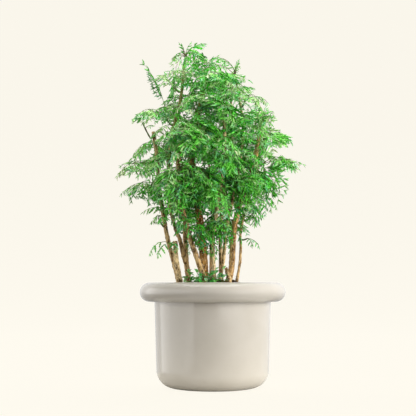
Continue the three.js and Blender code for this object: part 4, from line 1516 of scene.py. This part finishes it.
def grow_frond(frond, tone, fronds, draw):
    """One frond: a stalk from its root that runs on as the midrib, side leaves in pairs and a tip."""
    work = Workpiece()
    for kind in ("narrow", "toothed", "lobed"):
        work.add_leaflet(kind)
    work.add_twig()
    for face in only(BMFace, work.stamps["twig"]):
        face.material_index = 1

    def midrib_spot(share):
        spot = midrib(frond, share * TIP_FROM)
        return spot["at"], spot["across"], spot["normal"]

    lay_rib(work, midrib_spot, 1.05, tone)
    stretch = (LAST_PAIR - FIRST_PAIR) * frond["reach"]
    pairs = max(3, round(stretch * MILLIMETRE / fronds.pair_spacing / frond["slim"]) + 1)
    for i in range(pairs):
        for side in (-1, 1):
            share = blend(FIRST_PAIR, LAST_PAIR, i / (pairs - 1)) + 0.01 * side + 0.02 * (draw() - 0.5)
            spot = midrib(frond, share)
            angle = blend(*PAIR_ANGLES, i / (pairs - 1)) * frond["slim"] ** 0.7 + 12 * (draw() - 0.5)
            directions = side_frame(spot, side, angle, blend(*PAIR_SAG, draw()))
            reach = row_at(BLADE, share)[0] * frond["reach"] * frond["slim"] * (0.9 + 0.16 * draw())
            if frond["reach"] < PLAIN_BELOW:
                lay_leaflet(
                    work, "toothed", spot["at"], directions, 40 * (draw() - 0.5), 1.15 * reach,
                    fronds.leaflet_width, tone + 0.4 * (draw() - 0.5),
                )
            else:
                grow_side_leaf(work, spot["at"], directions, reach, tone, fronds, draw)
    last = midrib(frond, TIP_FROM)
    grow_side_leaf(work, last["at"], last, TIP_REACH * frond["reach"], tone, fronds, draw)
    return work


def frond_tone(frond):
    """How light a frond's green is: paler higher up and at the crown's outside, darker low down and where
    its side leaves stay close, and darker at the far right, which is painted shade where the crown turns
    away from the light."""
    tip = blade_tip(frond)
    middle, room = row_at(HEART, frond["root"].z)
    high = clamped((frond["root"].z - 480) / 420)
    low = clamped(1 - frond["root"].z / 480)
    outer = clamped(math.hypot(tip.x - middle, tip.y / DEEPER) / room - 0.7)
    # Painted shade: fronds at the crown's far right are darker, as if turned away from the light.
    right = clamped((tip.x - 110) / 90)
    lighter = TONE["high"] * high + TONE["outer"] * outer
    darker = TONE["low"] * low + TONE["right"] * right + TONE["slim"] * (1 - frond["slim"])
    return TONE["start"] + lighter - darker


def drawn_in(frond):
    """Cuts a frond back until its blade lies within the crown's right-hand edge, or as far as it may
    be cut back."""
    shortest = CUT_BACK * frond["reach"]
    while frond["reach"] > shortest:
        spots = [midrib(frond, 0.6)["at"], midrib(frond, 0.8)["at"], blade_tip(frond)]
        if all(spot.x < row_at(RIGHT_EDGE, spot.z)[0] for spot in spots):
            break
        frond = {**frond, "reach": CUT_STEP * frond["reach"]}
    return frond


def fillings_beside(root):
    """How many fillings grow beside a frond: most in the crown's middle, where they hang lowest, and
    a few on the outer canes, of which the right-hand ones stand more hidden."""
    middle, room = row_at(HEART, root.z)
    aside = abs(root.x - middle) / room
    count = row_at(FILLINGS, root.z + HANGING_LOWER * max(0, 1 - 2 * aside))[0]
    outer = OUTER_SHARE["right" if root.x > middle else "left"]
    return round(count * (1 if aside < OUTSKIRTS else outer))


def filling_frond(frond, turn, draw):
    """A shorter frond from the same node that stays inside the crown, where it closes the gaps.
    turn is how far round it may head, with the front in the middle."""
    middle, room = row_at(HEART, frond["root"].z)
    for _ in range(FILLING["tries"]):
        filling = {
            **frond,
            "angle": 270 + turn * (draw() - 0.5),
            "rise": blend(*row_at(FILLING_RISE, frond["root"].z), draw()),
            "droop": blend(*FILLING["droop"], draw()),
            "reach": frond["reach"] * blend(*FILLING["reach"], draw()),
            "roll": FILLING["roll"] * (draw() - 0.5),
            "slim": 1,
        }
        tip = blade_tip(filling)
        inside = math.hypot(tip.x - middle, tip.y / DEEPER) < room
        if (inside or abs(tip.x - frond["root"].x) < CLOSE) and fits(tip):
            return filling
    return None


def tip_frond(frond, draw):
    """A short upright frond, still unfolding, at the tip of a cane."""
    young = {
        **frond,
        "angle": 360 * draw(),
        "rise": blend(*TIP_FROND["rise"], draw()),
        "droop": blend(*TIP_FROND["droop"], draw()),
        "reach": blend(*TIP_FROND["reach"], draw()),
        "slim": TIP_FROND["slim"],
    }
    while not fits(blade_tip(young)):
        young["reach"] *= 0.92
    return young


def grow_shoot(work, shoot):
    """The green shoot, which starts as wide as what it grows from."""
    points = shoot["points"]
    start = shoot.get("carries_on")
    inside = points[0] + (points[0] - points[1]).normalized() * 1.5
    radii = (0.93 * start, 2) if start else (2.6, 1.9)
    sideways = (points[1] - inside).cross(points[2] - points[1])
    towards = sideways if sideways.length > 1 else Vector((1, 0, 0))
    steps = 10
    rings = stem_rings([inside, *points[1:]], radii, steps, towards)
    spots = [
        ring_matrix(ring, ring["radius"] + 0.25 * math.cos(i * math.pi) - (0.9 if i == steps else 0))
        for i, ring in enumerate(rings)
    ]
    before = set(work.bm.faces)
    work.draw_out(spots, 10)
    bmesh.ops.recalc_face_normals(work.bm, faces=[face for face in work.bm.faces if face not in before])


class ARALIA_OT_grow_sprays(bpy.types.Operator):
    """Grow the green shoots and their fronds of cut, toothed leaflets"""

    bl_idname = "aralia.grow_sprays"
    bl_label = "Grow the sprays"

    def execute(self, context):
        fronds = context.scene.aralia.fronds
        leaf = waxy_leaf("Waxy aralia leaf", fronds, fronds.bright)
        stalk = green_stalk(fronds)
        planned = planned_shoots()
        for number, shoot in enumerate(planned):
            work = Workpiece()
            grow_shoot(work, shoot)
            for face in work.bm.faces:
                face.material_index = 1
            draw = seeded_draws(7000 + number)
            age = 0.12 if shoot["name"].startswith("end") else 0
            for frond in standing_fronds(shoot):
                count = fillings_beside(frond["root"])
                turns = [FILLING_TURNS[i % 2 if count > 2 else 0] for i in range(count)]
                grown = [frond] + [filling_frond(frond, turn, draw) for turn in turns]
                if "carries_on" in shoot:
                    grown.append(tip_frond(frond, draw))
                for each in map(drawn_in, filter(None, grown)):
                    tone = age + frond_tone(each) + 0.24 * (draw() - 0.5)
                    work.take_in(grow_frond(each, tone, fronds, draw))
            work.finish(f"fronds_of_{shoot['name']}", "frond_leaf", [shoot["name"]], leaf, stalk)
        return {"FINISHED"}


# ---- Young shoots ---------------------------------------------------------------------------


def young_root(at, habit):
    """Where a young shoot starts, in the soil."""
    x, y = at
    return Vector((x, y, soil_height(x, y, 0) - habit["sunk"]))


def grow_young_shoot(work, root, tip, habit, count, draw):
    """A thin stem with round leaves, each turned well away from the one below it."""
    rings = stem_rings([root, root.lerp(tip, 0.5), tip], habit["radii"], 8)
    before = set(work.bm.faces)
    work.draw_out([ring_matrix(ring, ring["radius"]) for ring in rings], 8)
    stem_faces = [face for face in work.bm.faces if face not in before]
    bmesh.ops.recalc_face_normals(work.bm, faces=stem_faces)
    for face in stem_faces:
        face.material_index = 1
    for i in range(count):
        share = blend(*habit["spots"], i / (count - 1))
        angle = NEXT_LEAF["turn"] * i + NEXT_LEAF["wander"] * draw()
        rise = blend(*habit["rise"], draw())
        reach = blend(*habit["length"], draw())
        along = heading(angle, rise)
        across = along.cross(UP).normalized()
        directions = {"along": along, "across": across, "normal": across.cross(along)}
        lay_leaflet(work, "round", root.lerp(tip, share), directions, 0, reach, 1, 0.4 + 0.4 * draw())


class ARALIA_OT_grow_young_shoots(bpy.types.Operator):
    """Grow the small shoots with round leaves at the foot of the canes"""

    bl_idname = "aralia.grow_young_shoots"
    bl_label = "Grow the young shoots"

    def execute(self, context):
        fronds = context.scene.aralia.fronds
        leaf = waxy_leaf("Waxy young leaf", fronds, fronds.round_leaf)
        stalk = green_stalk(fronds)
        for plan in YOUNG_SHOOTS:
            root = young_root(plan["at"], YOUNG)
            tip = root + Vector(plan["lean"])
            tip.z = root.z + YOUNG["sunk"] + plan["height"]
            work = Workpiece()
            work.add_leaflet("round")
            draw = seeded_draws(plan["seed"])
            grow_young_shoot(work, root, tip, YOUNG, plan["leaves"], draw)
            for at in plan["sprouts"]:
                root = young_root(at, SPROUT)
                lean = [SPROUT["lean"] * (draw() - 0.5) for _ in range(2)]
                tip = root + Vector((*lean, blend(*SPROUT["height"], draw())))
                grow_young_shoot(work, root, tip, SPROUT, SPROUT["leaves"], draw)
            work.finish(f"leaves_of_{plan['name']}", "young_leaf", [plan["name"]], leaf, stalk)
        return {"FINISHED"}


# ---- Stage ----------------------------------------------------------------------------------


def add_box_light(name, at, target, size, watts, passed_by):
    """A soft box that faces a target and passes by the objects of a collection."""
    light = bpy.data.lights.new(name, "AREA")
    light.shape = "RECTANGLE"
    light.size, light.size_y = size
    light.energy = watts
    box = bpy.data.objects.new(name, light)
    box.location = at
    box.rotation_euler = (Vector(target) - Vector(at)).to_track_quat("-Z", "Y").to_euler()
    box.visible_camera = False
    box.light_linking.receiver_collection = passed_by
    bpy.context.scene.collection.objects.link(box)
    return box


class ARALIA_OT_set_stage(bpy.types.Operator):
    """Set the cream floor and backdrop, the soft lights and the camera"""

    bl_idname = "aralia.set_stage"
    bl_label = "Set the stage"

    def execute(self, context):
        stage = context.scene.aralia.stage
        bm = bmesh.new()
        corner = stage.sweep_corner
        vert = bmesh.ops.create_vert(bm, co=(0, 0, 0))["vert"][0]
        vert = draw_line(bm, vert, (stage.sweep_radius - corner, 0, 0))
        vert = draw_arc(bm, vert, (stage.sweep_radius - corner, 0, corner), -90, 24)
        draw_line(bm, vert, (stage.sweep_radius, 0, stage.sweep_height))
        turn_profile(bm, 128)
        bmesh.ops.translate(bm, vec=(0, 0, -0.0003), verts=bm.verts)
        for face in bm.faces:
            face.smooth = True
        backdrop = as_object("backdrop", bm, matt_paper("Cream background paper", stage, 0.12, 0.965))
        # The backdrop is only seen: the even daylight stands in for what it would send back.
        backdrop.visible_diffuse = False
        backdrop.visible_glossy = False
        backdrop.visible_shadow = False
        # A plain disc, unseen by the camera, sends light up from the floor round the pot.
        bm = bmesh.new()
        bmesh.ops.create_circle(bm, segments=64, radius=stage.bounce_radius, cap_ends=True)
        bmesh.ops.translate(bm, vec=(0, 0, -0.0006), verts=bm.verts)
        bounce = as_object("bounce", bm, matt_paper("Matt cream card", stage, 0.68, 0))
        bounce.visible_camera = False
        bounce.visible_shadow = False

        # The backdrop is lit by the daylight alone, so it stays even.
        passed_by = bpy.data.collections.new("lit_by_daylight_alone")
        passed_by.objects.link(backdrop)
        passed_by.collection_objects[0].light_linking.link_state = "EXCLUDE"
        # Angles go from the camera's side towards the right.
        for name, angle, distance, height, size, watts in (
            ("key_box", 64, 3, 0.9, (3.2, 1.8), stage.key),
            ("front_box", -4, 3.3, 1.8, (4.2, 2), stage.front),
            ("low_strip", 36, 3.3, 0.15, (3.2, 0.6), stage.low),
            ("side_box", -80, 2.6, 0.6, (5, 2), stage.fill),
            ("top_box", 180, 0.25, 2.9, (2.4, 2.4), stage.top),
        ):
            turn = math.radians(angle)
            at = (distance * math.sin(turn), -distance * math.cos(turn), height)
            box = add_box_light(name, at, (0, 0, 0.45), size, watts, passed_by)
            box.visible_glossy = name != "key_box"

        world = bpy.data.worlds.new("daylight")
        world.use_nodes = True
        world.node_tree.nodes.clear()
        seen = add(world, "ShaderNodeTexCoord").outputs["Generated"]
        sides = add(world, "ShaderNodeSeparateXYZ", links={0: seen})
        away = add(
            world, "ShaderNodeMapRange",
            {"From Min": -0.3, "From Max": 0.6, "To Min": stage.daylight, "To Max": stage.backlight},
            {"Value": sides.outputs["Y"]},
        )
        above = add(
            world, "ShaderNodeMapRange", {"From Min": -0.35, "From Max": 0, "To Min": 0.3, "To Max": 1},
            {"Value": sides.outputs["Z"]},
        )
        strength = add(
            world, "ShaderNodeMath", {"operation": "MULTIPLY"}, {0: away.outputs[0], 1: above.outputs[0]}
        )
        sky = add(world, "ShaderNodeBackground", links={"Strength": strength.outputs[0]})
        add(world, "ShaderNodeOutputWorld", links={"Surface": sky.outputs[0]})
        context.scene.world = world

        camera = bpy.data.cameras.new("camera")
        camera.lens = stage.lens
        holder = bpy.data.objects.new("camera", camera)
        holder.location = (-stage.aside, -stage.distance, stage.camera_height)
        holder.rotation_euler = (math.pi / 2 + stage.tilt, 0, 0)
        context.scene.collection.objects.link(holder)
        context.scene.camera = holder
        context.scene.view_settings.view_transform = "Standard"
        return {"FINISHED"}


# ---- Panel ----------------------------------------------------------------------------------

STEPS = (
    ("set_stage", "stage"),
    ("turn_pot", "pot"),
    ("fill_soil", "soil"),
    ("grow_canes", "canes"),
    ("grow_young_shoots", None),
    ("grow_sprays", "fronds"),
)


class ARALIA_PT_panel(bpy.types.Panel):
    """Buttons and sizes of the potted ming aralia"""

    bl_idname = "ARALIA_PT_panel"
    bl_label = "Potted ming aralia"
    bl_space_type = "VIEW_3D"
    bl_region_type = "UI"
    bl_category = "Aralia"

    def draw(self, context):
        for operator, group in STEPS:
            box = self.layout.box()
            box.operator(f"aralia.{operator}")
            if group:
                settings = getattr(context.scene.aralia, group)
                for name in settings.__annotations__:
                    box.prop(settings, name)


CLASSES = (
    AraliaPot,
    AraliaSoil,
    AraliaCanes,
    AraliaFronds,
    AraliaStage,
    AraliaSettings,
    ARALIA_OT_set_stage,
    ARALIA_OT_turn_pot,
    ARALIA_OT_fill_soil,
    ARALIA_OT_grow_canes,
    ARALIA_OT_grow_young_shoots,
    ARALIA_OT_grow_sprays,
    ARALIA_PT_panel,
)


def register():
    for each in CLASSES:
        bpy.utils.register_class(each)
    bpy.types.Scene.aralia = PointerProperty(type=AraliaSettings)


def unregister():
    del bpy.types.Scene.aralia
    for each in reversed(CLASSES):
        bpy.utils.unregister_class(each)


def main():
    register()
    for operator, _ in STEPS:
        getattr(bpy.ops.aralia, operator)()


if __name__ == "__main__":
    main()
